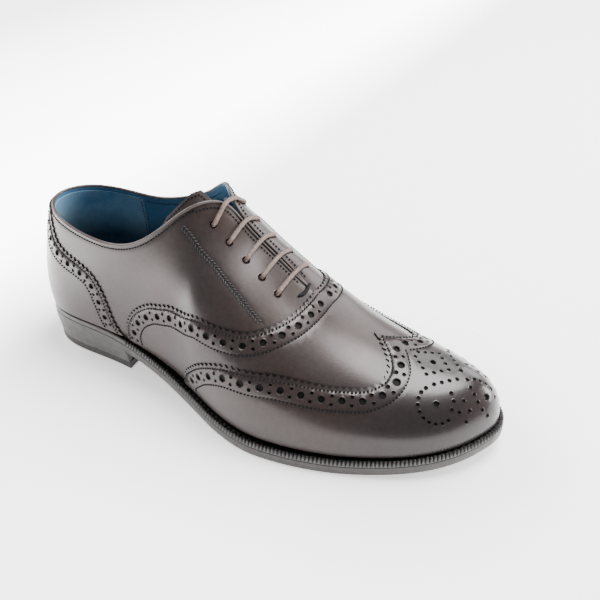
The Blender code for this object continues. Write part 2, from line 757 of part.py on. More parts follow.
def lace_path():
    """Line of the lace: five bars over the facings and the runs under them."""
    above, below = LACE_RADIUS + 0.5, UPPER_WALL + LACE_RADIUS + 0.45
    path = []
    pairs = eyelet_points()
    for i, pair in enumerate(pairs):
        order = pair if i % 2 == 0 else pair[::-1]
        station, share = EYELETS[i]
        (first, rise), (second, fall) = order
        before = pairs[i - 1][0 if i % 2 == 0 else 1][0] if i else first - (4.0, 0.0, -3.0)
        after = pairs[i + 1][1 if i % 2 == 0 else 0][0] if i + 1 < len(pairs) else second + (4.0, 0.0, -3.0)
        back = (before - first) / np.linalg.norm(before - first)
        ahead = (after - second) / np.linalg.norm(after - second)
        over = (second - first) / np.linalg.norm(second - first)
        path += [first - rise * below + back * 2.4, first - rise * (below - 0.35) + back * 0.7]
        path += [first - rise * 1.7, first + rise * 0.1, first + rise * 1.1 + over * 0.5]
        shares = np.array([share + 0.04, 0.5 + share / 2, 0.995])
        bar = bar_stations(station, share, shares, (first[0] + second[0]) / 2)
        near, far = (bar, 2 * TOE - bar) if i % 2 == 0 else (2 * TOE - bar, bar)
        path += list(shell_point(near, shares, above))
        path += list(shell_point(far, shares, above)[::-1])
        path += [second + fall * 1.1 - over * 0.5, second + fall * 0.1, second - fall * 1.7]
        path += [second - fall * (below - 0.35) + ahead * 0.7, second - fall * below + ahead * 2.4]
    return np.array(path)


def make_lace(skin):
    curve = bpy.data.curves.new("lace", "CURVE")
    curve.dimensions = "3D"
    curve.bevel_depth = LACE_RADIUS * MM
    curve.bevel_resolution = 1
    curve.use_fill_caps = True
    path = place(lace_path())
    spline = curve.splines.new("POLY")
    spline.points.add(len(path) - 1)
    for point, at in zip(spline.points, path):
        point.co = (*at, 1.0)
    return add_object("lace", curve, skin)


def main():
    for obj in list(bpy.data.objects):
        bpy.data.objects.remove(obj, do_unlink=True)
    leather = material("leather", LEATHER, 0.4)
    edge = material("sole_edge", SOLE_EDGE, 0.45)
    breast = station_of(BREAST_X)
    make_outsole(edge)
    welt_strip("welt", np.linspace(breast + GAP, 2 * TOE - breast - GAP, 64), edge)
    welt_strip("heel_rand", np.linspace(-breast + GAP, breast - GAP, 24), edge)
    make_heel(edge, material("top_lift", LIFT, 0.6))
    make_insole(material("insole", INSOLE, 0.5))
    make_upper(leather)
    make_overlay("vamp", forefoot_border(VAMP_EDGE, OVERLAY_EDGE), OVERLAY_LIFT, leather)
    make_overlay("wing_cap", forefoot_border(CAP_EDGE, OVERLAY_EDGE), 2 * OVERLAY_LIFT + OVERLAY, leather)
    make_overlay("heel_counter", back_border(COUNTER_EDGE, OVERLAY_EDGE), OVERLAY_LIFT, leather)
    make_tongue(leather)
    make_lace(material("lace", CORD, 0.7))


if __name__ == "__main__":
    main()
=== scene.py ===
"""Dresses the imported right-foot brogue oxford: leathers, punching, stitching, laces, sole and the stage.

Shapes are worked out in millimetres from the back of the heel, as the shoe's own last gives them, and
placed in the frame's metres. -Y is the outer (lateral) side, +X is the toe.
"""

import math
from collections import namedtuple
from itertools import product

import bpy
import numpy as np
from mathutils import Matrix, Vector, kdtree
from mathutils.geometry import delaunay_2d_cdt


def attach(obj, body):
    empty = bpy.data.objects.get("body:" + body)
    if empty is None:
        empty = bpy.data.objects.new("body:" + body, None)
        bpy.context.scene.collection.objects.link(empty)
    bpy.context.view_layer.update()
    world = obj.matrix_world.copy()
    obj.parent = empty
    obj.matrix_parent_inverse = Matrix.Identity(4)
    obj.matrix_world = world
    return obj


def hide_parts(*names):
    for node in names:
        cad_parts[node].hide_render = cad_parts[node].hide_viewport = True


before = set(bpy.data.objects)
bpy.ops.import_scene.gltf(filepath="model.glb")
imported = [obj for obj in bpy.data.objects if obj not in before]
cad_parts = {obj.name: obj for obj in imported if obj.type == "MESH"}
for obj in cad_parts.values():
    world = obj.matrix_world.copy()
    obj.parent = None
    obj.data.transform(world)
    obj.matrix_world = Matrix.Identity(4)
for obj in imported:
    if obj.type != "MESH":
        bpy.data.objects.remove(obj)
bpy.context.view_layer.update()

bl_info = {
    "name": "Brogue Oxford Dresser",
    "version": (1, 0, 0),
    "blender": (4, 5, 0),
    "location": "View3D > Sidebar > Shoe",
    "description": "Cuts, punches, stitches and finishes a brogue oxford over its solid parts",
    "category": "Object",
}

# Driving sizes of the last and the sole, in millimetres, as the solid parts have them
MM = 0.001
HEEL_CENTRE = 38.0  # from the back of the sole to the origin
GAP = 0.3
OUTSOLE_THICK = 5.0
WELT_THICK = 3.0
TOP_LIFT = 4.5
INSOLE_THICK = 2.4
BREAST_X = 75.0  # front face of the heel
HEEL_TAPER = 1.8
TONGUE_THICK = 2.0
SHEET = 70.0  # millimetres of leather that one section stands for, when a border is drawn
FOOT = 0.02  # the overlaid leathers stop this share of a section above the welt

# Heights of each leather's outer face over the last
OVERLAY_FACE = 1.5
CAP_FACE = 3.0
EDGE_DROP = 0.7  # the edges are pared thinner by this much
SHADE_INK_REACH = 0.85  # painted shadow and edge ink spread this far on the leather under a pinked edge
SHADE_INK_MIDDLE = 0.75  # middle of that painted shadow and ink, inside the tips of the teeth

# Plan of the feather line, where upper meets welt. One row for each section, heel to toe
Plan = namedtuple("Plan", "x lateral medial ledge")
PLAN = [
    Plan(3.5, 0.0, 0.0, 1.4),
    Plan(8.0, -15.5, 15.5, 1.4),
    Plan(18.5, -25.0, 24.5, 1.5),
    Plan(38.0, -29.5, 28.5, 1.6),
    Plan(60.0, -30.0, 28.5, 1.9),
    Plan(85.0, -31.0, 27.0, 3.8),
    Plan(108.0, -34.5, 26.2, 5.2),
    Plan(124.0, -39.0, 27.3, 5.8),
    Plan(134.0, -42.4, 28.7, 6.0),
    Plan(146.0, -46.9, 31.2, 6.2),
    Plan(160.0, -51.2, 34.8, 6.3),
    Plan(174.0, -53.4, 38.2, 6.4),
    Plan(186.0, -53.0, 40.6, 6.4),
    Plan(202.0, -50.4, 42.5, 6.4),
    Plan(220.0, -45.2, 42.4, 6.4),
    Plan(240.0, -37.3, 39.6, 6.2),
    Plan(260.0, -26.0, 33.0, 6.0),
    Plan(272.6, -13.6, 25.0, 5.8),
    Plan(280.2, -1.0, 17.0, 5.6),
    Plan(282.6, 8.0, 8.0, 5.6),
]

# Edge of the opening, then the ridge over the toes. Same rows as the plan
Top = namedtuple("Top", "x lateral lateral_z medial medial_z")
TOP = [
    Top(8.5, 0.0, 88.0, 0.0, 88.0),
    Top(12.0, -10.0, 87.5, 10.5, 88.3),
    Top(20.5, -18.5, 86.5, 19.0, 87.8),
    Top(38.0, -26.0, 84.5, 26.5, 85.6),
    Top(60.0, -30.0, 83.0, 29.5, 84.3),
    Top(85.0, -30.5, 86.5, 28.5, 91.0),
    Top(107.0, -26.0, 101.5, 21.5, 103.5),
    Top(122.5, -15.5, 113.2, 12.5, 113.4),
    Top(130.3, -4.0, 110.6, 5.4, 109.6),
    Top(140.0, 0.9, 98.6, 3.7, 98.6),
    Top(155.0, 1.7, 86.1, 4.3, 86.1),
    Top(168.0, 2.5, 75.8, 4.5, 75.8),
    Top(177.5, 3.3, 68.7, 3.3, 68.7),
    Top(196.0, 3.3, 57.9, 3.3, 57.9),
    Top(216.0, 3.8, 49.6, 3.8, 49.6),
    Top(234.0, 4.9, 44.1, 4.9, 44.1),
    Top(248.0, 6.2, 41.0, 6.2, 41.0),
    Top(256.0, 7.2, 39.6, 7.2, 39.6),
    Top(259.5, 7.8, 39.1, 7.8, 39.1),
    Top(261.0, 8.0, 38.9, 8.0, 38.9),
]
THROAT_ROW = 12  # the first row where the two sides are one

# How each section leaves the welt, fills out and meets its top. Same rows again
Swell = namedtuple("Swell", "lateral_lean medial_lean rise roof end")
SWELL = [
    Swell(7.0, 7.0, 0.36, 0.36, 78.0),
    Swell(8.0, 8.0, 0.36, 0.36, 78.0),
    Swell(10.0, 10.0, 0.36, 0.36, 78.0),
    Swell(10.0, 13.0, 0.36, 0.36, 80.0),
    Swell(9.0, 14.0, 0.36, 0.36, 82.0),
    Swell(8.0, 18.0, 0.37, 0.36, 80.0),
    Swell(8.0, 18.0, 0.40, 0.36, 70.0),
    Swell(8.0, 17.0, 0.44, 0.38, 54.0),
    Swell(9.0, 15.0, 0.50, 0.53, 34.0),
    Swell(9.0, 14.0, 0.54, 0.64, 18.0),
    Swell(9.0, 13.0, 0.56, 0.69, 9.0),
    Swell(9.0, 12.0, 0.57, 0.70, 4.0),
    Swell(9.0, 11.0, 0.58, 0.68, 0.0),
    Swell(9.0, 9.0, 0.58, 0.62, 0.0),
    Swell(9.0, 8.0, 0.58, 0.57, 0.0),
    Swell(9.0, 7.0, 0.59, 0.57, 0.0),
    Swell(8.0, 5.0, 0.60, 0.58, 0.0),
    Swell(6.0, 4.0, 0.60, 0.60, 0.0),
    Swell(4.0, 4.0, 0.60, 0.60, 0.0),
    Swell(4.0, 4.0, 0.60, 0.60, 0.0),
]

# Underside of the outsole: seat, shank, flat tread and toe spring
Tread = namedtuple("Tread", "x z")
TREAD = [
    Tread(0.0, 16.2),
    Tread(50.0, 15.4),
    Tread(78.0, 12.9),
    Tread(104.0, 8.4),
    Tread(132.0, 3.6),
    Tread(158.0, 0.7),
    Tread(176.0, 0.0),
    Tread(216.0, 0.0),
    Tread(240.0, 1.3),
    Tread(266.0, 4.2),
    Tread(292.0, 8.2),
]


# Borders of the overlaid leathers, from the welt upwards: distance round the shoe, share of the section
Border = namedtuple("Border", "station share")
VAMP_EDGE = [
    Border(88.5, FOOT),
    Border(88.5, 0.12),
    Border(92.5, 0.29),
    Border(99.0, 0.41),
    Border(110.0, 0.485),
    Border(121.7, 0.469),
    Border(138.3, 0.425),
    Border(155.4, 0.459),
    Border(168.2, 0.496),
    Border(180.6, 0.562),
    Border(190.3, 0.664),
    Border(197.5, 0.772),
    Border(201.3, 0.895),
    Border(202.8, 1.0),
]
CAP_EDGE = [
    Border(135.5, FOOT),
    Border(138.6, 0.088),
    Border(147.1, 0.161),
    Border(157.1, 0.234),
    Border(170.8, 0.318),
    Border(192.0, 0.403),
    Border(210.9, 0.467),
    Border(229.1, 0.529),
    Border(241.6, 0.592),
    Border(247.1, 0.679),
    Border(247.6, 0.766),
    Border(244.0, 0.865),
    Border(239.0, 0.94),
    Border(234.0, 1.0),
]
COUNTER_EDGE = [
    Border(85.0, FOOT),
    Border(81.5, 0.12),
    Border(78.5, 0.32),
    Border(75.0, 0.51),
    Border(69.0, 0.645),
    Border(60.0, 0.71),
    Border(48.0, 0.745),
    Border(40.0, 0.79),
    Border(35.0, 0.855),
    Border(29.5, 0.93),
    Border(24.0, 0.975),
]

# Where the laces pass through the lateral facing. The medial facing mirrors it
Eyelet = namedtuple("Eyelet", "station share")
EYELETS = [
    Eyelet(146.8, 0.90),
    Eyelet(157.5, 0.88),
    Eyelet(167.6, 0.872),
    Eyelet(177.2, 0.858),
    Eyelet(187.2, 0.842),
]

# The tongue, from its ear by the lateral corner to the throat: how far it stands past the collar, how far it
# reaches down inside and how deep it lies under the face of the facings
TongueRow = namedtuple("TongueRow", "station rise below depth")
TONGUE = [
    TongueRow(112.0, -3.0, 8.0, 4.6),
    TongueRow(114.0, 0.5, 10.5, 4.6),
    TongueRow(118.0, 6.0, 13.0, 4.6),
    TongueRow(124.0, 8.0, 16.0, 4.6),
    TongueRow(130.0, 9.5, 18.0, 4.7),
    TongueRow(136.0, 8.0, 20.0, 4.9),
    TongueRow(139.0, 5.0, 21.0, 5.2),
    TongueRow(143.0, 1.5, 22.0, 5.5),
    TongueRow(147.0, 0.0, 23.0, 5.7),
    TongueRow(170.0, 0.0, 20.5, 5.7),
    TongueRow(206.0, 0.0, 17.0, 5.7),
]
TONGUE_JOIN = 147.0  # its two sides are one from here to the throat
TONGUE_MEDIAL = 139.0  # its medial side starts here, and stays this far under the collar
MEDIAL_RISE = -6.0


def reach_of(steps):
    """Distance along a line at each of its points, from the lengths of its steps."""
    return np.concatenate([[0.0], np.cumsum(steps)])


def cubic(first, second, first_slope, second_slope, h, s):
    """The cubic between two values with these slopes, at the share s of the step h between them."""
    return (
        first * (1 + 2 * s) * (1 - s) ** 2
        + first_slope * h * s * (1 - s) ** 2
        + second * s * s * (3 - 2 * s)
        + second_slope * h * s * s * (s - 1)
    )


def curve_through(points, reach, count):
    """Evenly spread points on a smooth curve through points that lie these distances along it."""
    heading = np.gradient(points, reach, axis=0)
    at = np.linspace(0.0, reach[-1], count)
    i = np.clip(np.searchsorted(reach, at, side="right") - 1, 0, len(reach) - 2)
    h = (reach[i + 1] - reach[i])[:, None]
    s = (at - reach[i])[:, None] / h
    return cubic(points[i], points[i + 1], heading[i], heading[i + 1], h, s)


def slopes_of(x, y):
    """Slopes of a monotone cubic through the points, so that flats stay flat."""
    step = np.diff(x)
    rise = np.diff(y) / step
    slope = np.zeros(len(x))
    slope[0], slope[-1] = rise[0], rise[-1]
    for i in range(1, len(x) - 1):
        if rise[i - 1] * rise[i] > 0:
            a = 2 * step[i] + step[i - 1]
            b = step[i] + 2 * step[i - 1]
            slope[i] = (a + b) / (a / rise[i - 1] + b / rise[i])
    return slope


def monotone(x, y, at):
    """The monotone cubic through (x, y), read at the values given."""
    x, y, at = np.asarray(x, float), np.asarray(y, float), np.asarray(at, float)
    slope = slopes_of(x, y)
    i = np.clip(np.searchsorted(x, at) - 1, 0, len(x) - 2)
    h = x[i + 1] - x[i]
    s = np.clip((at - x[i]) / h, 0.0, 1.0)
    return cubic(y[i], y[i + 1], slope[i], slope[i + 1], h, s)


class Loop:
    """Smooth closed curves through rows of values, such as the feather line and what goes with it."""

    def __init__(self, knots, length, values):
        self.knots, self.length, self.values = knots, length, values
        n = len(knots)
        step = np.append(knots[1:], length) - knots
        system = np.zeros((n, n))
        right = np.zeros((n, values.shape[1]))
        for i in range(n):
            before, after = step[i - 1], step[i]
            system[i, i - 1] += before
            system[i, i] += 2 * (before + after)
            system[i, (i + 1) % n] += after
            right[i] = 6 * (
                (values[(i + 1) % n] - values[i]) / after
                - (values[i] - values[i - 1]) / before
            )
        self.step = step
        self.bend = np.linalg.solve(system, right)

    def __call__(self, at):
        at = np.mod(np.asarray(at, float), self.length)
        i = np.clip(np.searchsorted(self.knots, at, side="right") - 1, 0, len(self.knots) - 1)
        j = (i + 1) % len(self.knots)
        h = self.step[i][..., None]
        b = (at - self.knots[i])[..., None]
        a = h - b
        return (
            (self.bend[i] * a**3 + self.bend[j] * b**3) / (6 * h)
            + (self.values[i] / h - self.bend[i] * h / 6) * a
            + (self.values[j] / h - self.bend[j] * h / 6) * b
        )


def row_stations():
    """Distance along the outline of each table row, and of the toe tip, the mean of both sides."""
    lateral = np.array([(r.x, r.lateral) for r in PLAN])
    medial = np.array([(r.x, r.medial) for r in PLAN])
    steps = [np.hypot(*np.diff(side, axis=0).T) for side in (lateral, medial)]
    return reach_of(np.mean(steps, axis=0))


STATION = row_stations()
TOE = STATION[-1]  # the loop runs up the lateral side to the toe, and back on the medial side
THROAT = STATION[THROAT_ROW]
THROAT_EASE = 45.0  # the facings take on the slope of the ridge over this distance
CLOSED_FROM = THROAT - 1e-6  # the two sides are one from here to the toe
LEDGE = 9  # column of the ledge in the rows below


def outline_rows():
    """One row of values for each knot round the shoe: plan, top, swell and ledge."""
    rows = []
    for p, t, s in zip(PLAN, TOP, SWELL):
        side = [p.x, p.lateral, t.x, t.lateral, t.lateral_z, s.lateral_lean]
        rows.append(side + [s.rise, s.roof, s.end, p.ledge])
    for p, t, s in list(zip(PLAN, TOP, SWELL))[-2:0:-1]:
        side = [p.x, p.medial, t.x, t.medial, t.medial_z, s.medial_lean]
        rows.append(side + [s.rise, s.roof, s.end, p.ledge])
    return np.array(rows)


KNOTS = np.concatenate([STATION, 2 * TOE - STATION[-2:0:-1]])
OUTLINE = Loop(KNOTS, 2 * TOE, outline_rows())


def tread_z(x):
    """Height of the outsole's underside."""
    return monotone([r.x for r in TREAD], [r.z for r in TREAD], x)


def welt_top_z(x):
    """Height of the welt's upper face, which the upper stands on."""
    return tread_z(x) + OUTSOLE_THICK + GAP + WELT_THICK


def station_of(x):
    """Station along the outline of a distance from the heel."""
    return np.interp(x, [r.x for r in PLAN], STATION)


def from_heel(w):
    """Distance from the back of the heel, along either side."""
    side = np.mod(w, 2 * TOE)
    return np.minimum(side, 2 * TOE - side)


def ledge_at(w):
    """How far the welt stands out past the feather line."""
    return OUTLINE(w)[..., LEDGE]


def plan_normal(w):
    """Outward direction of the feather line, in plan."""
    step = 0.5
    along = OUTLINE(np.asarray(w) + step)[..., :2] - OUTLINE(np.asarray(w) - step)[..., :2]
    along /= np.linalg.norm(along, axis=-1, keepdims=True)
    return np.stack([along[..., 1], -along[..., 0]], -1)


def ridge_slope(x):
    """Fall of the ridge towards the toe."""
    rows = TOP[THROAT_ROW:]
    xs, zs = [r.x for r in rows], [r.lateral_z for r in rows]
    return np.interp(x, xs, np.gradient(zs, xs))


def last(w, v):
    """A point on the last: w round the shoe, v from the welt (0) to the top of the section (1)."""
    w, v = np.broadcast_arrays(np.asarray(w, float), np.asarray(v, float))
    row = OUTLINE(w)
    other = OUTLINE(2 * TOE - w)
    side = from_heel(w)
    closed = side >= CLOSED_FROM
    foot = np.stack([row[..., 0], row[..., 1], welt_top_z(row[..., 0]) + GAP], -1)
    top = np.where(closed[..., None], (row[..., 2:5] + other[..., 2:5]) / 2, row[..., 2:5])
    out = plan_normal(w)
    rise, roof = row[..., 6], row[..., 7]
    lean, end = np.radians(row[..., 5]), np.radians(row[..., 8])
    reach = np.linalg.norm(top[..., :2] - foot[..., :2], axis=-1)
    height = top[..., 2] - foot[..., 2]
    inward = -out * 10.0 + (top[..., :2] - foot[..., :2])
    inward /= np.linalg.norm(inward, axis=-1, keepdims=True)
    pull = (rise * height)[..., None]
    p1 = foot + pull * np.concatenate([out * np.sin(lean)[..., None], np.cos(lean)[..., None]], -1)
    joining = np.clip(1 + (side - THROAT) / THROAT_EASE, 0.0, 1.0)
    joining = joining * joining * (3 - 2 * joining)
    climb = np.sin(end) + np.cos(end) * joining * ridge_slope(top[..., 0]) * inward[..., 0]
    arrive = np.concatenate([inward * np.cos(end)[..., None], climb[..., None]], -1)
    p2 = top - (roof * (reach * np.cos(end) + height * np.sin(end)))[..., None] * arrive
    v = v[..., None]
    return foot * (1 - v) ** 3 + 3 * p1 * v * (1 - v) ** 2 + 3 * p2 * v * v * (1 - v) + top * v**3


def last_normal(w, v):
    """Outward direction of the last's surface."""
    dw, dv = 0.4, 0.004
    v = np.asarray(v, float)
    low, high = np.clip(v - dv, 0.0, 1.0), np.clip(v + dv, 0.0, 1.0)
    beside = np.minimum(v, 0.97)  # the sections run together at the toe's pole
    along = last(np.asarray(w) + dw, beside) - last(np.asarray(w) - dw, beside)
    n = np.cross(along, last(w, high) - last(w, low))
    return n / np.maximum(np.linalg.norm(n, axis=-1, keepdims=True), 1e-9)


def shell_point(w, v, height):
    """A point this far outside the last, with one shared direction along the ridge."""
    w, v = np.broadcast_arrays(np.asarray(w, float), np.asarray(v, float))
    normal = last_normal(w, v)
    mirrored = last_normal(2 * TOE - w, v)
    ridge = (v > 1 - 1e-9) & (from_heel(w) >= CLOSED_FROM)
    both = normal + mirrored
    both /= np.linalg.norm(both, axis=-1, keepdims=True)
    normal = np.where(ridge[..., None], both, normal)
    return last(w, v) + normal * height


def place(points):
    """Millimetres from the heel's back to metres from the origin."""
    points = np.array(points, float)
    points[..., 0] -= HEEL_CENTRE
    return points * MM


def smooth(rows, spacing):
    """Points about this far apart on a smooth curve through border rows."""
    points = np.array(rows, float) * (1.0, SHEET)
    reach = reach_of(np.hypot(*np.diff(points, axis=0).T))
    return curve_through(points, reach, max(3, round(reach[-1] / spacing) + 1)) / (1.0, SHEET)


def inside(points, border):
    """Which points lie within a closed border."""
    x, y = points[:, 0][:, None], points[:, 1][:, None]
    ax, ay = border.T
    bx, by = np.roll(border, -1, axis=0).T
    crosses = (ay > y) != (by > y)
    rise = np.where(by == ay, 1e-12, by - ay)
    return (crosses & (x < ax + (y - ay) * (bx - ax) / rise)).sum(axis=1) % 2 == 1


def sole_ring(w, out, height):
    """Points this far outside the feather line, at a height above the outsole's underside."""
    w = np.asarray(w, float)
    xy = OUTLINE(w)[..., :2] + plan_normal(w) * np.asarray(out)[..., None]
    return np.concatenate([xy, (tread_z(xy[..., 0]) + height)[..., None]], -1)


def tongue_row(station):
    """The tongue's measures at a station."""
    table = np.array(TONGUE)
    return TongueRow(station, *[np.interp(station, table[:, 0], table[:, k]) for k in (1, 2, 3)])


def tongue_side(w, row, depth, points):
    """Points up one side of the tongue, from its lower edge to its free edge."""
    share = np.linspace(0.3, 1.0, 200)
    line = last(w, share)
    down = reach_of(np.linalg.norm(np.diff(line[::-1], axis=0), axis=1))
    reach = np.linspace(-row.below, row.rise, points)
    at = np.interp(np.maximum(-reach, 0.0), down, share[::-1])
    past = (line[-1] - line[-8]) / np.linalg.norm(line[-1] - line[-8])
    return shell_point(np.full(points, w), at, -depth) + past * np.maximum(reach, 0.0)[:, None]


def tongue_faces(stations, points):
    """Corners of the tongue's faces, lateral rows first, then medial. Joined rows share their last point."""
    rows = len(stations)
    lateral = np.arange(rows * points).reshape(rows, points)
    medial = lateral + rows * points
    joined = np.asarray(stations) >= TONGUE_JOIN
    medial[joined, -1] = lateral[joined, -1]
    faces = []
    for i in range(rows - 1):
        for j in range(points - 1):
            a, b = lateral[i, j : j + 2], lateral[i + 1, j : j + 2]
            faces.append([a[0], b[0], b[1], a[1]])
            if stations[i] >= TONGUE_MEDIAL:
                a, b = medial[i, j : j + 2], medial[i + 1, j : j + 2]
                faces.append([a[1], b[1], b[0], a[0]])
    return faces


def tongue_sheet(stations, points, deeper):
    """Points of the tongue this much deeper than its face, lateral rows first, then medial."""
    lateral, medial = [], []
    for station in stations:
        row = tongue_row(station)
        lateral.append(tongue_side(station, row, row.depth + deeper, points))
        if station < TONGUE_JOIN:
            row = row._replace(rise=MEDIAL_RISE)
        medial.append(tongue_side(2 * TOE - station, row, row.depth + deeper, points))
        if station >= TONGUE_JOIN:
            lateral[-1][-1] = medial[-1][-1] = (lateral[-1][-1] + medial[-1][-1]) / 2
    return np.concatenate(lateral + medial)


def thickened(faces, count):
    """Faces of a solid between two like sheets of this many points: outer, inner and the walls between."""
    sides = {(f[i - 1], f[i]) for f in faces for i in range(len(f))}
    walls = [[b, a, a + count, b + count] for a, b in sides if (b, a) not in sides]
    return faces + [[c + count for c in reversed(f)] for f in faces] + walls


def slab(outer, inner, faces):
    """A solid between two like sheets of points. Points that no face uses are left out."""
    used, index = np.unique(np.concatenate(faces), return_inverse=True)
    ends = np.cumsum([len(f) for f in faces])[:-1]
    skin = [list(f) for f in np.split(index.reshape(-1), ends)]
    return np.concatenate([outer[used], inner[used]]), thickened(skin, len(used))


def unit(vectors):
    return vectors / np.maximum(np.linalg.norm(vectors, axis=-1, keepdims=True), 1e-9)


def fold(points):
    """Points that pass the ridge, carried over to the other side."""
    points = np.array(points, float)
    over = points[:, 1] > 1
    points[over] = np.array([2 * TOE, 2.0]) - points[over]
    return points


def spread(points):
    """How the last's surface runs along w and along v at some points."""
    w, v = points.T
    dw, dv = 0.3, 0.003
    low, high = np.clip(v - dv, 0.0, 1.0), np.clip(v + dv, 0.0, 1.0)
    along = (last(w + dw, v) - last(w - dw, v)) / (2 * dw)
    up = (last(w, high) - last(w, low)) / (high - low)[:, None]
    return along, up


ONTO_STEP = np.array([6.0, 0.08])  # longest move of one round, along w and along v


def onto(points, targets, rounds=4):
    """Points of the sheet that come nearest to targets in space, started from points close by."""
    points = np.array(points, float)
    for _ in range(rounds):
        move = targets - last(*points.T)
        along, up = spread(points)
        a, b, c = (along * along).sum(-1), (along * up).sum(-1), (up * up).sum(-1)
        p, q = (move * along).sum(-1), (move * up).sum(-1)
        det = np.maximum(a * c - b * b, 1e-3 * c)
        step = np.column_stack([(c * p - b * q) / det, (a * q - b * p) / det])
        points = fold(points + np.clip(step, -ONTO_STEP, ONTO_STEP))
        points[:, 1] = np.maximum(points[:, 1], 0.001)
    return points


def even(line, spacing, start=0.0):
    """Points this far apart along a line of the sheet, measured on the leather."""
    at = last(*line.T)
    reach = reach_of(np.linalg.norm(np.diff(at, axis=0), axis=1))
    marks = np.arange(start, reach[-1], spacing)
    return np.column_stack([np.interp(marks, reach, line[:, k]) for k in (0, 1)])


def sideways(line, sign):
    """Direction across a line on the leather: inwards for the sign of its side."""
    heading = unit(np.gradient(last(*line.T), axis=0))
    return unit(np.cross(heading, last_normal(*line.T))) * sign


def inset(line, depth, sign, steps=4):
    """The line moved this far inwards over the leather."""
    moved = line
    for _ in range(steps if depth else 0):
        moved = onto(moved, last(*moved.T) + sideways(moved, sign) * depth / steps, 2)
    return moved


def clear_of(line, border, depth, top=1.0):
    """The part of an inset line that really lies that far from the border, on this side of the ridge."""
    tree = tree_of(last(*border.T))
    far = np.array([tree.find(p)[2] for p in last(*line.T)])
    own = lateral_side(line) == lateral_side(border)[len(border) // 2]
    kept = (far > 0.96 * depth) & (line[:, 1] > FOOT + 0.01) & (line[:, 1] < top) & own
    return line[kept]


def tree_of(points):
    tree = kdtree.KDTree(len(points))
    for i, p in enumerate(points):
        tree.insert(p, i)
    tree.balance()
    return tree


FAR_AWAY = 1e3
TESTED_AT_ONCE = 1500


def nearest(points, others):
    """Distance from each point to the nearest of the others, and which one that is."""
    if not len(others):
        return np.full(len(points), FAR_AWAY), np.zeros(len(points), int)
    tree = tree_of(others)
    found = [tree.find(p) for p in points]
    return np.array([f[2] for f in found]), np.array([f[1] for f in found])


# The flat pattern fans out at the heel and the toe, and runs straight between
PATTERN_SIDE = (0.0, 50.0, 215.0, TOE)
PATTERN_TURN = (-90.0, 0.0, 0.0, 90.0)


def flat_pattern(points):
    """The leather laid flat: each section runs out sideways from the top line, true to its length."""
    w, v = points.T
    share = np.linspace(0.0, 1.0, 13)
    line = last(w[:, None], v[:, None] + (1 - v[:, None]) * share)
    reach = np.linalg.norm(np.diff(line, axis=1), axis=-1).sum(axis=1)
    turn = np.radians(np.interp(from_heel(w), PATTERN_SIDE, PATTERN_TURN))
    out = np.column_stack([np.sin(turn), np.where(lateral_side(points), -1.0, 1.0) * np.cos(turn)])
    return line[:, -1, :2] + out * reach[:, None]


def cut_leather(border, marks, spacing):
    """Triangles that fill a border of the sheet, with points on the marks and this far apart elsewhere."""
    edge = flat_pattern(border)
    fixed = np.concatenate([border, marks]) if len(marks) else border
    flat_fixed = flat_pattern(fixed)
    low, high = border.min(axis=0), border.max(axis=0)
    columns = np.arange(low[0], high[0], spacing)
    rows = np.arange(max(low[1], 0.0), high[1], spacing / SHEET)
    loose = np.stack(np.meshgrid(columns, rows), -1).reshape(-1, 2)
    flat = flat_pattern(loose)
    parts = np.array_split(flat, len(flat) // TESTED_AT_ONCE + 1)
    within = np.concatenate([inside(part, edge) for part in parts])
    loose, flat = loose[within], flat[within]
    away, _ = nearest(np.pad(flat, ((0, 0), (0, 1))), np.pad(flat_fixed, ((0, 0), (0, 1))))
    loose, flat = loose[away > 0.6 * spacing], flat[away > 0.6 * spacing]
    kept = kept_apart(flat, 0.75 * spacing, spacing)
    points = np.concatenate([fixed, loose[kept]])
    flat = np.concatenate([flat_fixed, flat[kept]])
    centre = flat.mean(axis=0)
    found = delaunay_2d_cdt([Vector(p - centre) for p in flat], [], [list(range(len(border)))], 1, 1e-4)
    origins = [ids[0] for ids in found[3]]
    return points[origins], [list(f) for f in found[2]]


Hole = namedtuple("Hole", "station share radius")


def ring_marks(holes):
    """Points on and round each hole, so that its rim is a true circle."""
    marks = []
    for hole in holes:
        centre = np.array([[hole.station, hole.share]])
        at, normal = last(*centre.T), last_normal(*centre.T)
        side = unit(np.cross(normal, (0.0, 0.0, 1.0)))
        up = np.cross(normal, side)
        count = 18 if hole.radius > 1.2 else 12
        angle = np.arange(count) * 2 * math.pi / count
        marks.append(centre)
        for radius in pit_radii(hole.radius):
            targets = at + radius * (np.cos(angle)[:, None] * side + np.sin(angle)[:, None] * up)
            marks.append(onto(np.repeat(centre, count, axis=0), targets))
    return np.concatenate(marks) if marks else np.zeros((0, 2))


def pit_radii(radius):
    return (0.84 * radius, radius, radius + 0.3, radius + 0.7, radius + 1.15)


def pit_depth(distance, radius, depth):
    """Depth of a punched hole at this distance from its middle, with a slightly raised rim."""
    radii = [0.0, *pit_radii(radius)]
    return np.interp(distance, radii, [-depth, -depth, -0.2, 0.13, 0.0, 0.0])


LEATHER_SPACING = 2.3  # distance between the points of a plain stretch of leather
LEAST_APART = 0.13  # marks closer than this are one
ROW_SHIFTS = (-0.55, 0.0, 0.55)  # lines of points beside a stitch row
SHADE_INK_SHIFTS = (-1.15, -0.7, 0.0, 0.7, 1.15)  # lines of points beside a line of painted shadow and ink
EDGE_REACH = 1.9  # the paring of an edge fades over this distance
EDGE_BURNISH = (0.3, 2.6)  # how strong, and how far from the line
BAND_TINT = (0.06, 0.5)  # how strong, and how soft its inner end is
ROW_SINK = 0.2  # stitches pull the leather down by this much
# darkening beside stitch rows and round holes, how strong and how far: dye with painted shade in the grooves
# and pits
ROW_DYE_AND_SHADE = (0.28, 0.7)
HOLE_DYE_AND_SHADE = (0.32, 0.7)
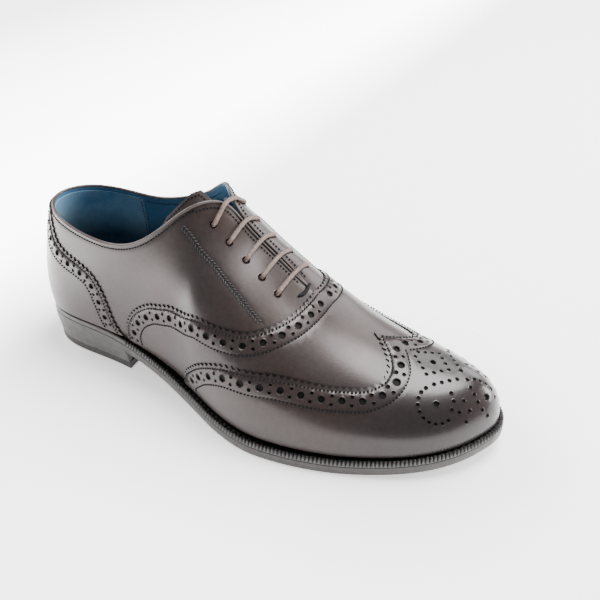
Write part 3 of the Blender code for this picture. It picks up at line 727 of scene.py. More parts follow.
# painted shadow and ink under pinked edges: this strength turns the leather nearly black
SHADE_INK_STRENGTH = 2.0
CRISP_EDGE = 38.0
LEVEL_WITHIN = 0.004  # faces this close to the plain height are shaded as the last itself


def fading(distance, reach, power=2):
    """A share that falls from one to nothing over a distance."""
    return np.exp(-((distance / reach) ** power))


class Leather:
    """One cut leather over the last: its border, its holes and the rows that its stitches pull down."""

    def __init__(self, border, free_edge, face, bed, holes=(), rows=(), pit=1.0, inked=(), tint=0.0):
        self.border, self.free_edge, self.face, self.bed = border, free_edge, face, bed
        self.holes, self.rows, self.pit = list(holes), list(rows), pit
        self.inked, self.tint = list(inked), tint

    def relief(self, points):
        """Height of the outer face at points of the sheet, how burnished and darkened by painted shade it is,
        and where it is punched.
        """
        at = last(*points.T)
        height = np.full(len(points), self.face)
        edge_far, _ = nearest(at, last(*self.free_edge.T) if len(self.free_edge) else [])
        height -= EDGE_DROP * fading(edge_far, EDGE_REACH)
        burnish_and_shade = EDGE_BURNISH[0] * fading(edge_far, EDGE_BURNISH[1])
        tinted = BAND_TINT[0] / (1.0 + np.exp((edge_far - self.tint) / BAND_TINT[1]))
        burnish_and_shade = np.maximum(burnish_and_shade, tinted)
        if self.rows:
            row_far, _ = nearest(at, last(*np.concatenate(self.rows).T))
            # painted shade and dye along the stitch grooves
            beside_row = fading(row_far, ROW_DYE_AND_SHADE[1])
            height -= ROW_SINK * beside_row
            burnish_and_shade = np.maximum(burnish_and_shade, ROW_DYE_AND_SHADE[0] * beside_row)
        punched = np.zeros(len(points), bool)
        if self.holes:
            middles = last([h.station for h in self.holes], [h.share for h in self.holes])
            far, which = nearest(at, middles)
            radius = np.array([h.radius for h in self.holes])[which]
            for size in set(radius.tolist()):
                same = radius == size
                height[same] += pit_depth(far[same], size, min(self.pit, 1.1 * size))
            punched = far < 1.02 * radius
            # painted shade and dye in and round the punched pits
            beside_hole = fading(np.maximum(far - radius, 0.0), HOLE_DYE_AND_SHADE[1])
            burnish_and_shade = np.maximum(burnish_and_shade, HOLE_DYE_AND_SHADE[0] * beside_hole)
        # painted shadow, with edge ink, on the leather under the pinked edges that lie over it
        if self.inked:
            far, _ = nearest(at, last(*np.concatenate(self.inked).T))
            burnish_and_shade = np.maximum(burnish_and_shade, SHADE_INK_STRENGTH * fading(far, SHADE_INK_REACH, 4))
        return height, burnish_and_shade, punched

    def build(self, name, skins):
        """The solid leather as an object: outer face with its relief, underside, walls round the edge."""
        marks = [ring_marks(self.holes)]
        for row in self.rows:
            for shift in ROW_SHIFTS:
                marks.append(inset(row, shift, 1.0, 1) if shift else row)
        for line in self.inked:
            marks += [inset(line, shift, 1.0, 1) for shift in SHADE_INK_SHIFTS]
        marks = np.concatenate(marks)
        marks = marks[(marks[:, 1] > FOOT + 0.004) & (marks[:, 1] < 1.001)]
        marks = marks[kept_apart(last(*marks.T), LEAST_APART, LEAST_APART)]
        far, _ = nearest(last(*marks.T), last(*self.border.T))
        sheet, faces = cut_leather(self.border, marks[far > 0.3], LEATHER_SPACING)
        height, burnish_and_shade, punched = self.relief(sheet)
        outer, inner = shell_point(*sheet.T, height[:, None]), shell_point(*sheet.T, self.bed)
        solid = thickened(faces, len(sheet))
        # faces inside the punched pits take the dark cut-edge colour: cut walls, and painted shade for the
        # leather seen through the hole
        shaded_pit_faces = [int(punched[f].all()) for f in faces] + [0] * (len(solid) - len(faces))
        obj = add_mesh(name, np.concatenate([outer, inner]), solid, skins, shaded_pit_faces)
        store(obj, "burnish_and_shade", np.concatenate([burnish_and_shade, burnish_and_shade]))
        finished(obj, CRISP_EDGE)
        level = (np.abs(height - self.face) < LEVEL_WITHIN) & (sheet[:, 1] < 0.995)
        shading = np.where(level[:, None], last_normal(*sheet.T), 0.0)  # a zero leaves Blender's own
        corners = np.empty(len(obj.data.loops), np.int32)
        obj.data.loops.foreach_get("vertex_index", corners)
        outside = 3 * len(faces)
        custom = np.zeros((len(corners), 3))
        custom[:outside] = shading[corners[:outside]]
        obj.data.normals_split_custom_set(custom.tolist())
        return obj


def kept_apart(at, least, cell_size):
    """Indexes of the points without any that come closer than this to one before them."""
    kept, cells = [], {}
    around = list(product((-1, 0, 1), repeat=at.shape[1]))
    for i, p in enumerate(at):
        cell = tuple((p // cell_size).astype(int).tolist())
        near = [j for step in around for j in cells.get(tuple(map(sum, zip(cell, step))), ())]
        if all(((at[j] - p) ** 2).sum() > least * least for j in near):
            cells.setdefault(cell, []).append(i)
            kept.append(i)
    return kept


def add_mesh(name, points, faces, skins, choice=None):
    """A mesh object at the origin with its place in its mesh."""
    mesh = bpy.data.meshes.new(name)
    mesh.from_pydata(place(points).tolist(), [], [list(map(int, f)) for f in faces])
    for skin in skins:
        mesh.materials.append(skin)
    if choice is not None:
        mesh.polygons.foreach_set("material_index", choice)
    obj = bpy.data.objects.new(name, mesh)
    bpy.context.scene.collection.objects.link(obj)
    return obj


def store(obj, name, values):
    """Keeps one number for each vertex, for the materials to read."""
    obj.data.attributes.new(name, "FLOAT", "POINT").data.foreach_set("value", np.asarray(values, float))


def only(obj):
    """Selects this object alone."""
    bpy.ops.object.select_all(action="DESELECT")
    obj.select_set(True)
    bpy.context.view_layer.objects.active = obj


def finished(obj, angle):
    """Smooth shading, with edges sharper than this many degrees left crisp."""
    only(obj)
    bpy.ops.object.shade_smooth_by_angle(angle=math.radians(angle))
    obj.select_set(False)
    return obj


def wrapped_grid(name, points, skins, angle=40.0, caps=False, burnish_and_shade=None):
    """A primitive grid laid over rows of points, its seams merged and, when caps is set, its open ends
    filled.
    """
    rows, columns = points.shape[:2]
    bpy.ops.object.select_all(action="DESELECT")
    bpy.ops.mesh.primitive_grid_add(x_subdivisions=columns - 1, y_subdivisions=rows - 1, size=1.0)
    obj = bpy.context.object
    obj.name = obj.data.name = name
    obj.data.vertices.foreach_set("co", place(points).ravel())
    for skin in skins:
        obj.data.materials.append(skin)
    if burnish_and_shade is not None:
        store(obj, "burnish_and_shade", burnish_and_shade.ravel())
    bpy.ops.object.mode_set(mode="EDIT")
    bpy.ops.mesh.select_all(action="SELECT")
    bpy.ops.mesh.remove_doubles(threshold=1e-6)
    if caps:
        bpy.ops.mesh.select_all(action="DESELECT")
        bpy.ops.mesh.select_mode(type="EDGE")
        bpy.ops.mesh.select_non_manifold()
        bpy.ops.mesh.edge_face_add()
    bpy.ops.mesh.select_mode(type="VERT")
    bpy.ops.mesh.select_all(action="SELECT")
    bpy.ops.mesh.normals_make_consistent(inside=False)
    bpy.ops.object.mode_set(mode="OBJECT")
    return finished(obj, angle)


def tube(name, path, radius, skins, sides=14):
    """A round cord along a path, its ends closed."""
    heading = unit(np.gradient(path, axis=0))
    side = np.zeros_like(path)
    side[0] = unit(np.cross(heading[0], (0.3, 0.2, 1.0)))
    for i in range(1, len(path)):
        side[i] = unit(side[i - 1] - heading[i] * (side[i - 1] @ heading[i]))
    other = np.cross(heading, side)
    angle = np.linspace(0.0, 2 * math.pi, sides + 1)
    radius = np.broadcast_to(radius, len(path))[:, None, None]
    rings = path[:, None] + radius * (
        np.cos(angle)[None, :, None] * side[:, None] + np.sin(angle)[None, :, None] * other[:, None]
    )
    return wrapped_grid(name, rings, skins, 60.0, caps=True)


def rounded(points, spacing):
    """A smooth curve through points in space."""
    points = np.asarray(points, float)
    reach = reach_of(np.linalg.norm(np.diff(points, axis=0), axis=1))
    return curve_through(points, reach, int(reach[-1] / spacing) + 2)


def sew(name, runs, size, skin):
    """Thread stitches along runs of (places, directions, normals), each a copy of one bead of thread."""
    length, width, thickness = size
    bpy.ops.object.select_all(action="DESELECT")
    lying = (0.0, math.pi / 2, 0.0)
    bpy.ops.mesh.primitive_uv_sphere_add(segments=6, ring_count=5, radius=0.5, rotation=lying)
    bead = bpy.context.object
    bpy.ops.object.transform_apply(location=True, rotation=True, scale=True)
    shape = np.array([v.co for v in bead.data.vertices]) * (length, width, thickness)
    pattern = [list(p.vertices) for p in bead.data.polygons]
    bpy.data.objects.remove(bead, do_unlink=True)
    points, faces = [], []
    for places, headings, normals in runs:
        across_run = unit(np.cross(normals, headings))
        for p, a, b, n in zip(places, headings, across_run, normals):
            start = len(points) * len(shape)
            points.append(p + shape[:, :1] * a + shape[:, 1:2] * b + shape[:, 2:] * n)
            faces += [[c + start for c in f] for f in pattern]
    return finished(add_mesh(name, np.concatenate(points), faces, [skin]), 60.0)


def stitch_run(line, pitch, height):
    """Places, directions and normals of stitches along a line of the sheet."""
    marks = even(line, pitch, pitch / 2)
    headings = unit(np.gradient(last(*marks.T), axis=0))
    return shell_point(*marks.T, height), headings, last_normal(*marks.T)


# Borders, bands and holes


def mirror(line):
    """The same line on the medial side."""
    return line * (-1.0, 1.0) + (2 * TOE, 0.0)


def lateral_side(line):
    return line[:, 0] % (2 * TOE) < TOE


TOOTH_POINTS = 6
EDGE_STEP = 0.5  # distance between the points of a drawn edge
BACK_SCALE = 0.84  # the band of the heel counter is this much narrower
TOOTH_ROUND = 0.6  # makes the notches round and the tips sharp
LINE_STEP = 0.8  # distance between the points of a line that is moved over the leather


def pinked(line, sign, sizes):
    """A border cut with small pointed teeth."""
    pitch, depth = sizes.pink_pitch / MM, sizes.pink_depth / MM
    marks = even(line, pitch / TOOTH_POINTS)
    wave = (0.5 + 0.5 * np.cos(np.arange(len(marks)) * 2 * math.pi / TOOTH_POINTS)) ** TOOTH_ROUND
    targets = last(*marks.T) + sideways(marks, sign) * (depth * wave)[:, None]
    teeth = onto(marks, targets, 2)
    own = lateral_side(teeth) == lateral_side(line)[len(line) // 2]
    far, _ = nearest(last(*teeth.T), last(*even(line, 0.3).T))
    tip, _ = nearest(last(*teeth.T), last(*line[-1:].T))
    kept = own & (far > 0.9 * depth * wave - 0.1) & (tip > 0.8 * pitch)  # none in tight corners
    kept &= teeth[:, 1] > FOOT + 0.015
    return np.concatenate([line[:1], teeth[kept][1:-1], line[-1:]])


class Band:
    """The punched band along one border: two rows of stitches, large holes and pairs of small ones."""

    def __init__(self, line, sign, sizes, scale=1.0):
        def beside(depth, top=1.0):
            return clear_of(inset(even(line, LINE_STEP), depth, sign), line, depth, top)

        self.teeth = pinked(line, sign, sizes)
        self.edge_row = beside(scale * sizes.edge_row / MM)
        self.inner_row = beside(scale * sizes.band / MM)
        track = beside(scale * sizes.hole_row / MM, 1.2)[::-1]
        pitch = sizes.hole_pitch / MM
        spots = even(track, pitch / 2, pitch / 2)
        spread_out = sizes.small_spread * scale / MM
        self.holes = [Hole(*p, scale * sizes.large_hole / MM / 2) for p in spots[::2]]
        for offset in (-spread_out, spread_out):
            pairs = inset(spots, offset, -sign, 2)[1::2]
            self.holes += [Hole(*p, sizes.small_hole / MM / 2) for p in pairs]
        self.holes = [h for h in self.holes if h.share > FOOT + 0.035]


def level_line(w, share):
    """A line at one share of the sections."""
    return np.column_stack([w, np.full(len(w), share)])


def forefoot(edge, sizes):
    """Border and bands of a leather that wraps the toe."""
    lateral = smooth(edge, EDGE_STEP)
    sides = [Band(lateral, 1.0, sizes), Band(mirror(lateral), -1.0, sizes)]
    foot = np.arange(2 * TOE - lateral[0, 0] - 2.0, lateral[0, 0] + 1.0, -2.0)
    border = np.concatenate([sides[0].teeth, sides[1].teeth[-2::-1], level_line(foot, FOOT)])
    return border, sides


def back_part(edge, sizes):
    """Border and bands of the leather that wraps the heel."""
    lateral = smooth(edge, EDGE_STEP)
    medial = lateral * (-1.0, 1.0)
    sides = [Band(lateral, -1.0, sizes, BACK_SCALE), Band(medial, 1.0, sizes, BACK_SCALE)]
    tip = lateral[-1]
    top = np.arange(tip[0] - 1.0, -tip[0] + 0.5, -1.0)
    foot = np.arange(-lateral[0, 0] + 2.0, lateral[0, 0] - 1.0, 2.0)
    border = [sides[0].teeth, level_line(top, tip[1]), sides[1].teeth[::-1], level_line(foot, FOOT)]
    return np.concatenate(border), sides


# Finishes


def fresh(name):
    """A new material, with its tree and its shader."""
    made = bpy.data.materials.new(name)
    made.use_nodes = True
    return made, made.node_tree, made.node_tree.nodes["Principled BSDF"]


def spot(tree):
    """The place on the piece, in metres."""
    return tree.nodes.new("ShaderNodeTexCoord").outputs["Object"]


def noise(tree, scale, detail=2.0, stretch=(1.0, 1.0, 1.0)):
    mapping = tree.nodes.new("ShaderNodeMapping")
    mapping.inputs["Scale"].default_value = stretch
    tree.links.new(spot(tree), mapping.inputs["Vector"])
    made = tree.nodes.new("ShaderNodeTexNoise")
    made.inputs["Scale"].default_value = scale
    made.inputs["Detail"].default_value = detail
    tree.links.new(mapping.outputs["Vector"], made.inputs["Vector"])
    return made.outputs["Fac"]


def pebbles(tree, scale):
    made = tree.nodes.new("ShaderNodeTexVoronoi")
    made.inputs["Scale"].default_value = scale
    tree.links.new(spot(tree), made.inputs["Vector"])
    return made.outputs["Distance"]


def ranged(tree, value, low, high, to_low=0.0, to_high=1.0):
    made = tree.nodes.new("ShaderNodeMapRange")
    tree.links.new(value, made.inputs["Value"])
    for socket, number in (("From Min", low), ("From Max", high), ("To Min", to_low), ("To Max", to_high)):
        made.inputs[socket].default_value = number
    return made.outputs["Result"]


def blended(tree, share, first, second):
    """Mixes two colours, each a socket or a plain colour."""
    made = tree.nodes.new("ShaderNodeMix")
    made.data_type = "RGBA"
    tree.links.new(share, made.inputs["Factor"])
    for socket, colour in (("A", first), ("B", second)):
        target = [s for s in made.inputs if s.name == socket and s.type == "RGBA"][0]
        if isinstance(colour, bpy.types.NodeSocket):
            tree.links.new(colour, target)
        else:
            target.default_value = (*colour[:3], 1.0)
    return [s for s in made.outputs if s.type == "RGBA"][0]


def bumped(tree, shader, heights, distance):
    """Adds a relief: each height with its strength, one over the other."""
    normal = None
    for height, strength in heights:
        made = tree.nodes.new("ShaderNodeBump")
        made.inputs["Strength"].default_value = strength
        made.inputs["Distance"].default_value = distance
        tree.links.new(height, made.inputs["Height"])
        if normal is not None:
            tree.links.new(normal, made.inputs["Normal"])
        normal = made.outputs["Normal"]
    tree.links.new(normal, shader.inputs["Normal"])


def place_along(tree, axis):
    """The place on the piece along one axis, in metres."""
    made = tree.nodes.new("ShaderNodeSeparateXYZ")
    tree.links.new(spot(tree), made.inputs["Vector"])
    return made.outputs[axis]


def kept_number(tree, name):
    made = tree.nodes.new("ShaderNodeAttribute")
    made.attribute_name = name
    return made.outputs["Fac"]


TOE_POLISH = (0.165, 0.215)  # the wax polish grows between these distances from the heel's centre
TOE_DARKER = (0.0, 0.45)  # each pair before and after
CALF_SPECULAR = (0.40, 0.22)
CALF_COAT = (0.14, 0.55)
CALF_ROUGHNESS = (0.30, 0.39)
# near-black for ink with painted shade, and for the shade in punched pits
SHADE_AND_INK_BLACK = (0.004, 0.004, 0.004)
LINING_SHADE = (0.006, 0.008, 0.012)


def polished_calf(name, colours):
    """Smooth dyed calf: cloudy colour, darker where it is burnished and where shade is painted, fine grain
    under a wax coat.
    """
    made, tree, shader = fresh(name)
    cloud = ranged(tree, noise(tree, 26.0, 3.0), 0.38, 0.66)
    base = blended(tree, cloud, colours.leather, colours.leather_warm)
    fine = ranged(tree, noise(tree, 420.0, 2.0), 0.3, 0.75, 0.0, 0.35)
    base = blended(tree, fine, base, colours.leather_dark)
    # burnished edges, with painted shade and dye beside stitch rows and holes
    burnished_and_shaded = ranged(tree, kept_number(tree, "burnish_and_shade"), 0.05, 0.95, 0.0, 0.72)
    base = blended(tree, burnished_and_shaded, base, colours.leather_dark)
    # painted shadow and ink under pinked edges, nearly black
    inked = ranged(tree, kept_number(tree, "burnish_and_shade"), 1.0, 1.9, 0.0, 0.96)
    base = blended(tree, inked, base, colours.cut_edge_and_shade)
    x = place_along(tree, "X")
    base = blended(tree, ranged(tree, x, *TOE_POLISH, *TOE_DARKER), base, colours.leather_dark)
    tree.links.new(base, shader.inputs["Base Color"])
    roughness = ranged(tree, noise(tree, 70.0, 3.0), 0.3, 0.7, *CALF_ROUGHNESS)
    tree.links.new(roughness, shader.inputs["Roughness"])
    tree.links.new(ranged(tree, x, *TOE_POLISH, *CALF_SPECULAR), shader.inputs["Specular IOR Level"])
    tree.links.new(ranged(tree, x, *TOE_POLISH, *CALF_COAT), shader.inputs["Coat Weight"])
    shader.inputs["Specular Tint"].default_value = (*colours.wax, 1.0)
    shader.inputs["Coat Roughness"].default_value = 0.2
    bumped(tree, shader, [(noise(tree, 1700.0, 3.0), 0.07), (pebbles(tree, 1100.0), 0.05)], 0.0004)
    return made


def plain_leather(name, colour, dark, roughness, grain=0.12, clouds=40.0, shine=0.5):
    """Undressed or matt leather: soft colour clouds and an open grain."""
    made, tree, shader = fresh(name)
    cloud = ranged(tree, noise(tree, clouds, 4.0), 0.3, 0.7)
    tree.links.new(blended(tree, cloud, colour, dark), shader.inputs["Base Color"])
    low, high = roughness - 0.06, roughness + 0.06
    tree.links.new(ranged(tree, noise(tree, 160.0, 2.0), 0.3, 0.7, low, high), shader.inputs["Roughness"])
    shader.inputs["Specular IOR Level"].default_value = shine
    bumped(tree, shader, [(pebbles(tree, 1300.0), grain), (noise(tree, 900.0, 3.0), grain)], 0.0004)
    return made


LINING_LIGHT = 74.0  # heights between which the linings darken with painted shade
LINING_DARK = 52.0
LINING_DARKENED = 0.86


def with_painted_shade(made):
    """Darkens a lining towards the bottom of the shoe, as painted shade deep inside it."""
    tree = made.node_tree
    shader = tree.nodes["Principled BSDF"]
    dye = shader.inputs["Base Color"].links[0].from_socket
    heights = (LINING_LIGHT * MM, LINING_DARK * MM)
    depth = ranged(tree, place_along(tree, "Z"), *heights, 0.0, LINING_DARKENED)
    tree.links.new(blended(tree, depth, dye, LINING_SHADE), shader.inputs["Base Color"])
    return made


def thread(name, colour, dark, shine=0.5):
    """Waxed thread or a round cord, with its twist."""
    made, tree, shader = fresh(name)
    twist = noise(tree, 1500.0, 1.0, (1.0, 0.5, 1.0))
    tree.links.new(blended(tree, ranged(tree, twist, 0.35, 0.65), colour, dark), shader.inputs["Base Color"])
    shader.inputs["Roughness"].default_value = 0.62
    shader.inputs["Specular IOR Level"].default_value = shine
    bumped(tree, shader, [(twist, 0.35)], 0.0003)
    return made


def sole_finish(name, colour, dark, roughness):
    """Inked and waxed leather edge: faint layers along the sole, small scuffs, a soft polish, and near-black
    ink with painted shade where the stored value says.
    """
    made, tree, shader = fresh(name)
    layers = noise(tree, 60.0, 3.0, (1.0, 1.0, 14.0))
    base = blended(tree, ranged(tree, layers, 0.3, 0.8, 0.0, 0.6), colour, dark)
    # ink with painted shade in the welt's wheeled grooves and channel
    inked = ranged(tree, kept_number(tree, "burnish_and_shade"), 0.0, 1.8, 0.0, 0.97)
    base = blended(tree, inked, base, SHADE_AND_INK_BLACK)
    tree.links.new(base, shader.inputs["Base Color"])
    scuffs = ranged(tree, noise(tree, 240.0, 4.0), 0.35, 0.7, roughness - 0.08, roughness + 0.1)
    tree.links.new(scuffs, shader.inputs["Roughness"])
    shader.inputs["Coat Weight"].default_value = 0.12
    shader.inputs["Coat Roughness"].default_value = 0.3
    bumped(tree, shader, [(layers, 0.03), (noise(tree, 900.0, 2.0), 0.06)], 0.0005)
    return made


def finish(name):
    """One of the shoe's finishes, made when it is first asked for."""
    if name in bpy.data.materials:
        return bpy.data.materials[name]
    c = bpy.context.scene.shoe_colours
    makers = {
        "calf": lambda: polished_calf("calf", c),
        # cut walls and painted shade inside the punched pits
        "raw_edge_and_pit_shade": lambda: plain_leather("raw_edge_and_pit_shade", c.cut_edge_and_shade, SHADE_AND_INK_BLACK, 0.7, shine=0.2),
        "lining": lambda: with_painted_shade(plain_leather("lining", c.lining, c.lining_dark, 0.5)),
        "heel_lining": lambda: with_painted_shade(
            plain_leather("heel_lining", c.heel_lining, c.lining, 0.75, 0.2, shine=0.2)
        ),
        "binding": lambda: plain_leather("binding", c.binding, c.leather_warm, 0.42, 0.06),
        "tongue": lambda: plain_leather("tongue", c.tongue, c.leather_warm, 0.42, 0.06),
        "thread": lambda: thread("thread", c.thread, (0.003, 0.003, 0.004), 0.15),
        "braid": lambda: thread("braid", c.braid, c.thread, 0.6),
        "lace": lambda: thread("lace", c.lace, c.lace_dark),
        "sole_ink": lambda: sole_finish("sole_ink", c.sole_edge, c.sole_dark, 0.45),
        "welt_ink": lambda: sole_finish("welt_ink", c.welt, c.sole_dark, 0.42),
        "top_piece": lambda: sole_finish("top_piece", c.top_piece, (0.015, 0.014, 0.014), 0.6),
    }
    return makers[name]()


def dress(obj, slot, *nodes):
    """Ties a piece to the shoe's body and hides the solids that it stands for. The slot is not used."""
    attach(obj, "root")
    if nodes:
        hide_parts(*nodes)
    return obj


# User settings


def length(name, description, millimetres):
    return bpy.props.FloatProperty(
        name=name, description=description, default=millimetres * MM, min=0.0, unit="LENGTH", precision=5
    )


def colour(name, description, rgb):
    return bpy.props.FloatVectorProperty(
        name=name, description=description, default=rgb, subtype="COLOR", size=3, min=0.0, max=1.0
    )


class ShoeSizes(bpy.types.PropertyGroup):
    """Sizes of the ornament and the trim."""

    pink_pitch: length("Tooth pitch", "Distance between the teeth of the pinked edges", 3.5)
    pink_depth: length("Tooth depth", "Depth of the teeth of the pinked edges", 1.5)
    edge_row: length("Edge row", "Distance of the outer stitch row from the edge", 2.7)
    band: length("Band", "Distance of the inner stitch row from the edge", 12.0)
    hole_row: length("Hole row", "Distance of the punched row from the edge", 7.1)
    hole_pitch: length("Hole pitch", "Distance between large holes", 10.3)
    large_hole: length("Large hole", "Diameter of the large punched holes", 3.5)
    small_hole: length("Small hole", "Diameter of the small punched holes", 1.4)
    small_spread: length("Small hole spread", "Distance of the small holes from the middle of the row", 2.0)
    stitch: length("Stitch", "Length of one stitch", 1.45)
    stitch_pitch: length("Stitch pitch", "Distance between stitches", 2.0)
    eyelet: length("Eyelet", "Diameter of the lace holes", 3.8)
    lace: length("Lace", "Diameter of the lace", 2.4)
    binding: length("Binding", "Diameter of the rolled edge round the opening", 2.0)
    wheel_pitch: length("Wheel pitch", "Distance between the wheeled marks on the welt", 2.1)


class ShoeColours(bpy.types.PropertyGroup):
    """Dyes and inks, as linear colours."""

    leather: colour("Leather", "Main dye of the upper", (0.036, 0.029, 0.0285))
    leather_warm: colour("Warm leather", "Browner clouds in the dye", (0.039, 0.026, 0.0225))
    # also the colour of the painted shade beside stitch rows and holes
    leather_dark: colour("Burnished leather", "Dye along seams and edges", (0.010, 0.0088, 0.0105))
    wax: colour("Wax", "Tint of the polish", (1.0, 0.88, 0.86))
    # cut edges, and the painted shade inside holes and under pinked edges
    cut_edge_and_shade: colour("Cut edge", "Inside of holes and edges", (0.007, 0.0064, 0.0072))
    lining: colour("Lining", "Lining of the quarters", (0.125, 0.285, 0.470))
    lining_dark: colour("Lining shade", "Darker clouds in the lining", (0.080, 0.205, 0.350))
    heel_lining: colour("Heel lining", "Lining round the heel", (0.380, 0.560, 0.660))
    binding: colour("Binding", "Rolled edge of the opening", (0.095, 0.073, 0.066))
    tongue: colour("Tongue", "Face of the tongue", (0.060, 0.046, 0.043))
    thread: colour("Thread", "Stitching", (0.005, 0.005, 0.007))
    braid: colour("Braid", "Braided row of the quarters and stitches of the welt", (0.030, 0.026, 0.028))
    lace: colour("Lace", "Main colour of the lace", (0.215, 0.150, 0.125))
    lace_dark: colour("Lace shade", "Hollows of the lace's braid", (0.110, 0.076, 0.064))
    sole_edge: colour("Sole edge", "Ink on the sole and the heel", (0.050, 0.041, 0.039))
    sole_dark: colour("Sole shade", "Darker layers of the sole", (0.034, 0.029, 0.028))
    # welt ink, made lighter than the sole edge as a painted highlight on the crests of its beads
    welt: colour("Welt", "Ink on the welt", (0.090, 0.080, 0.080))
    top_piece: colour("Top piece", "Part of the heel that meets the floor", (0.040, 0.034, 0.033))
    floor: colour("Floor", "Studio floor", (0.86, 0.86, 0.86))


# Pieces


def side_line(low, high, step=1.0, share=1.0):
    """A line at one share of the sections, on the lateral side."""
    return level_line(np.arange(low, high, step), share)


QUARTER_FRONT = 212.0  # the quarters run this far forward under the vamp
FACING_TOP = 131.0  # where the collar turns into the facing
BRAID = [
    Border(131.4, 0.916),
    Border(137.0, 0.845),
    Border(144.0, 0.784),
    Border(159.7, 0.738),
    Border(186.5, 0.656),
]
BRAID_APART = 1.7  # its two rows
BRAID_PITCH = 1.9
BRAID_LEAN = (0.7, -0.7)  # its stitches lean one way and then the other
BRAID_STITCH = (2.3, 0.9, 0.8)
THREAD_SECTION = (0.9, 0.75)  # width and height of a stitch
QUARTER_BED = -1.2  # heights of the leathers' undersides over the last
OVERLAY_BED = 0.1
CAP_BED = 1.55


def quarter(side, sizes):
    """One quarter with its facing, eyelets and stitch rows. Side is 1 lateral or -1 medial."""
    turn = (lambda line: line) if side > 0 else mirror
    top = turn(side_line(0.0, QUARTER_FRONT))
    share = np.arange(0.985, 0.01, -0.03)
    front = turn(np.column_stack([np.full(len(share), QUARTER_FRONT - 1.0), share]))
    foot = turn(side_line(0.0, QUARTER_FRONT, 2.0, 0.001)[::-1])
    back = turn(np.column_stack([np.full(len(share), 0.0), share[::-1]]))
    border = np.concatenate([top, front, foot, back])
    facing = clear_of(inset(turn(side_line(FACING_TOP + 3, THROAT - 5, 0.8)), 3.2, side), top, 3.0)
    collar = clear_of(inset(turn(side_line(1.0, FACING_TOP + 3, 0.8)), 2.0, side), top, 1.9)
    braid = turn(smooth(BRAID, 0.8))
    holes = [Hole(*turn(np.array([e], float))[0], sizes.eyelet / MM / 2) for e in EYELETS]
    rows = [facing, collar, braid, inset(braid, BRAID_APART, side, 2)]
    edges = ((VAMP_EDGE, side), (COUNTER_EDGE, -side))
    # painted shadow and ink under the vamp's and the counter's pinked edges
    inked = [under_edge(turn(smooth(edge, EDGE_STEP)), sign) for edge, sign in edges]
    free = top[int(FACING_TOP) :]
    return Leather(border if side > 0 else border[::-1], free, 0.0, QUARTER_BED, holes, rows, 1.1, inked)


def under_edge(line, sign):
    """Middle of the teeth of a pinked edge, where painted shadow and ink lie on the leather below."""
    return inset(even(line, LINE_STEP), SHADE_INK_MIDDLE, sign, 1)


class SHOE_OT_quarters(bpy.types.Operator):
    """Quarters with their facings, lace holes and stitching"""

    bl_idname = "shoe.quarters"
    bl_label = "Quarters"

    def execute(self, context):
        sizes = context.scene.shoe_sizes
        skins = [finish("calf"), finish("raw_edge_and_pit_shade")]
        runs, slanted = [], []
        pitch = sizes.stitch_pitch / MM
        for side, name in ((1.0, "quarter_lateral"), (-1.0, "quarter_medial")):
            leather = quarter(side, sizes)
            nodes = ["upper"] if side > 0 else []
            dress(leather.build(name, skins), "upper_leather", *nodes)
            runs += [stitch_run(row, pitch, 0.08) for row in leather.rows[:2]]
            for row, lean in zip(leather.rows[2:], BRAID_LEAN):
                places, headings, normals = stitch_run(row, BRAID_PITCH, 0.1)
                headings = unit(headings + lean * np.cross(normals, headings))
                slanted.append((places, headings, normals))
        size = (sizes.stitch / MM, *THREAD_SECTION)
        dress(sew("quarter_stitches", runs, size, finish("thread")), "upper_leather")
        dress(sew("facing_braid", slanted, BRAID_STITCH, finish("braid")), "upper_leather")
        return {"FINISHED"}


def overlay(name, border, sides, face, bed, sizes, nodes, holes=(), inked=()):
    """A banded leather with its stitches."""
    free = np.concatenate([side.teeth for side in sides])
    rows = [row for side in sides for row in (side.edge_row, side.inner_row)]
    punched = [hole for side in sides for hole in side.holes] + list(holes)
    leather = Leather(border, free, face, bed, punched, rows, 1.05, inked, sizes.band / MM)
    dress(leather.build(name, [finish("calf"), finish("raw_edge_and_pit_shade")]), "upper_leather", *nodes)
    runs = [stitch_run(row, sizes.stitch_pitch / MM, face + 0.06) for row in rows]
    size = (sizes.stitch / MM, *THREAD_SECTION)
    dress(sew(name + "_stitches", runs, size, finish("thread")), "upper_leather")


class SHOE_OT_vamp(bpy.types.Operator):
    """Vamp with its pinked and punched band"""

    bl_idname = "shoe.vamp"
    bl_label = "Vamp"

    def execute(self, context):
        sizes = context.scene.shoe_sizes
        border, sides = forefoot(VAMP_EDGE, sizes)
        cap = smooth(CAP_EDGE, EDGE_STEP)
        # painted shadow and ink under the cap's pinked edge
        inked = [under_edge(cap, 1.0), under_edge(mirror(cap), -1.0)]
        overlay("vamp_leather", border, sides, OVERLAY_FACE, OVERLAY_BED, sizes, ["vamp"], inked=inked)
        return {"FINISHED"}


ORNAMENT_AXIS = 4.4  # middle line of the toe ornament, across the shoe
Spot = namedtuple("Spot", "along across")
LARGE_MIDDLE = [Spot(248.4, 0.0), Spot(277.0, 0.0)]
LARGE_SIDE = [Spot(258.3, 19.8)]
SMALL_MIDDLE = [Spot(257.2, 0.0), Spot(266.8, 0.0)]
DIAMOND = [Spot(239.2, 2.0), Spot(248.4, 9.2), Spot(257.2, 0.0)]  # corners of its outline
TAIL = [Spot(262.6, 3.0), Spot(253.8, 12.2)]
FRONT = [Spot(269.5, 2.6), Spot(272.0, 4.2), Spot(274.5, 5.4), Spot(277.0, 5.7), Spot(279.4, 4.4)]
FILL_NEAR = [Spot(262.6, 11.4), Spot(264.9, 13.8), Spot(268.9, 10.3), Spot(265.4, 17.3)]
FILL_FAR = [Spot(268.7, 15.6), Spot(272.4, 11.4), Spot(272.3, 15.4)]
SCROLL_RADIUS = 9.3
SCROLL_HOLES = 10
SCROLL_TURN = (27.0, 216.0)


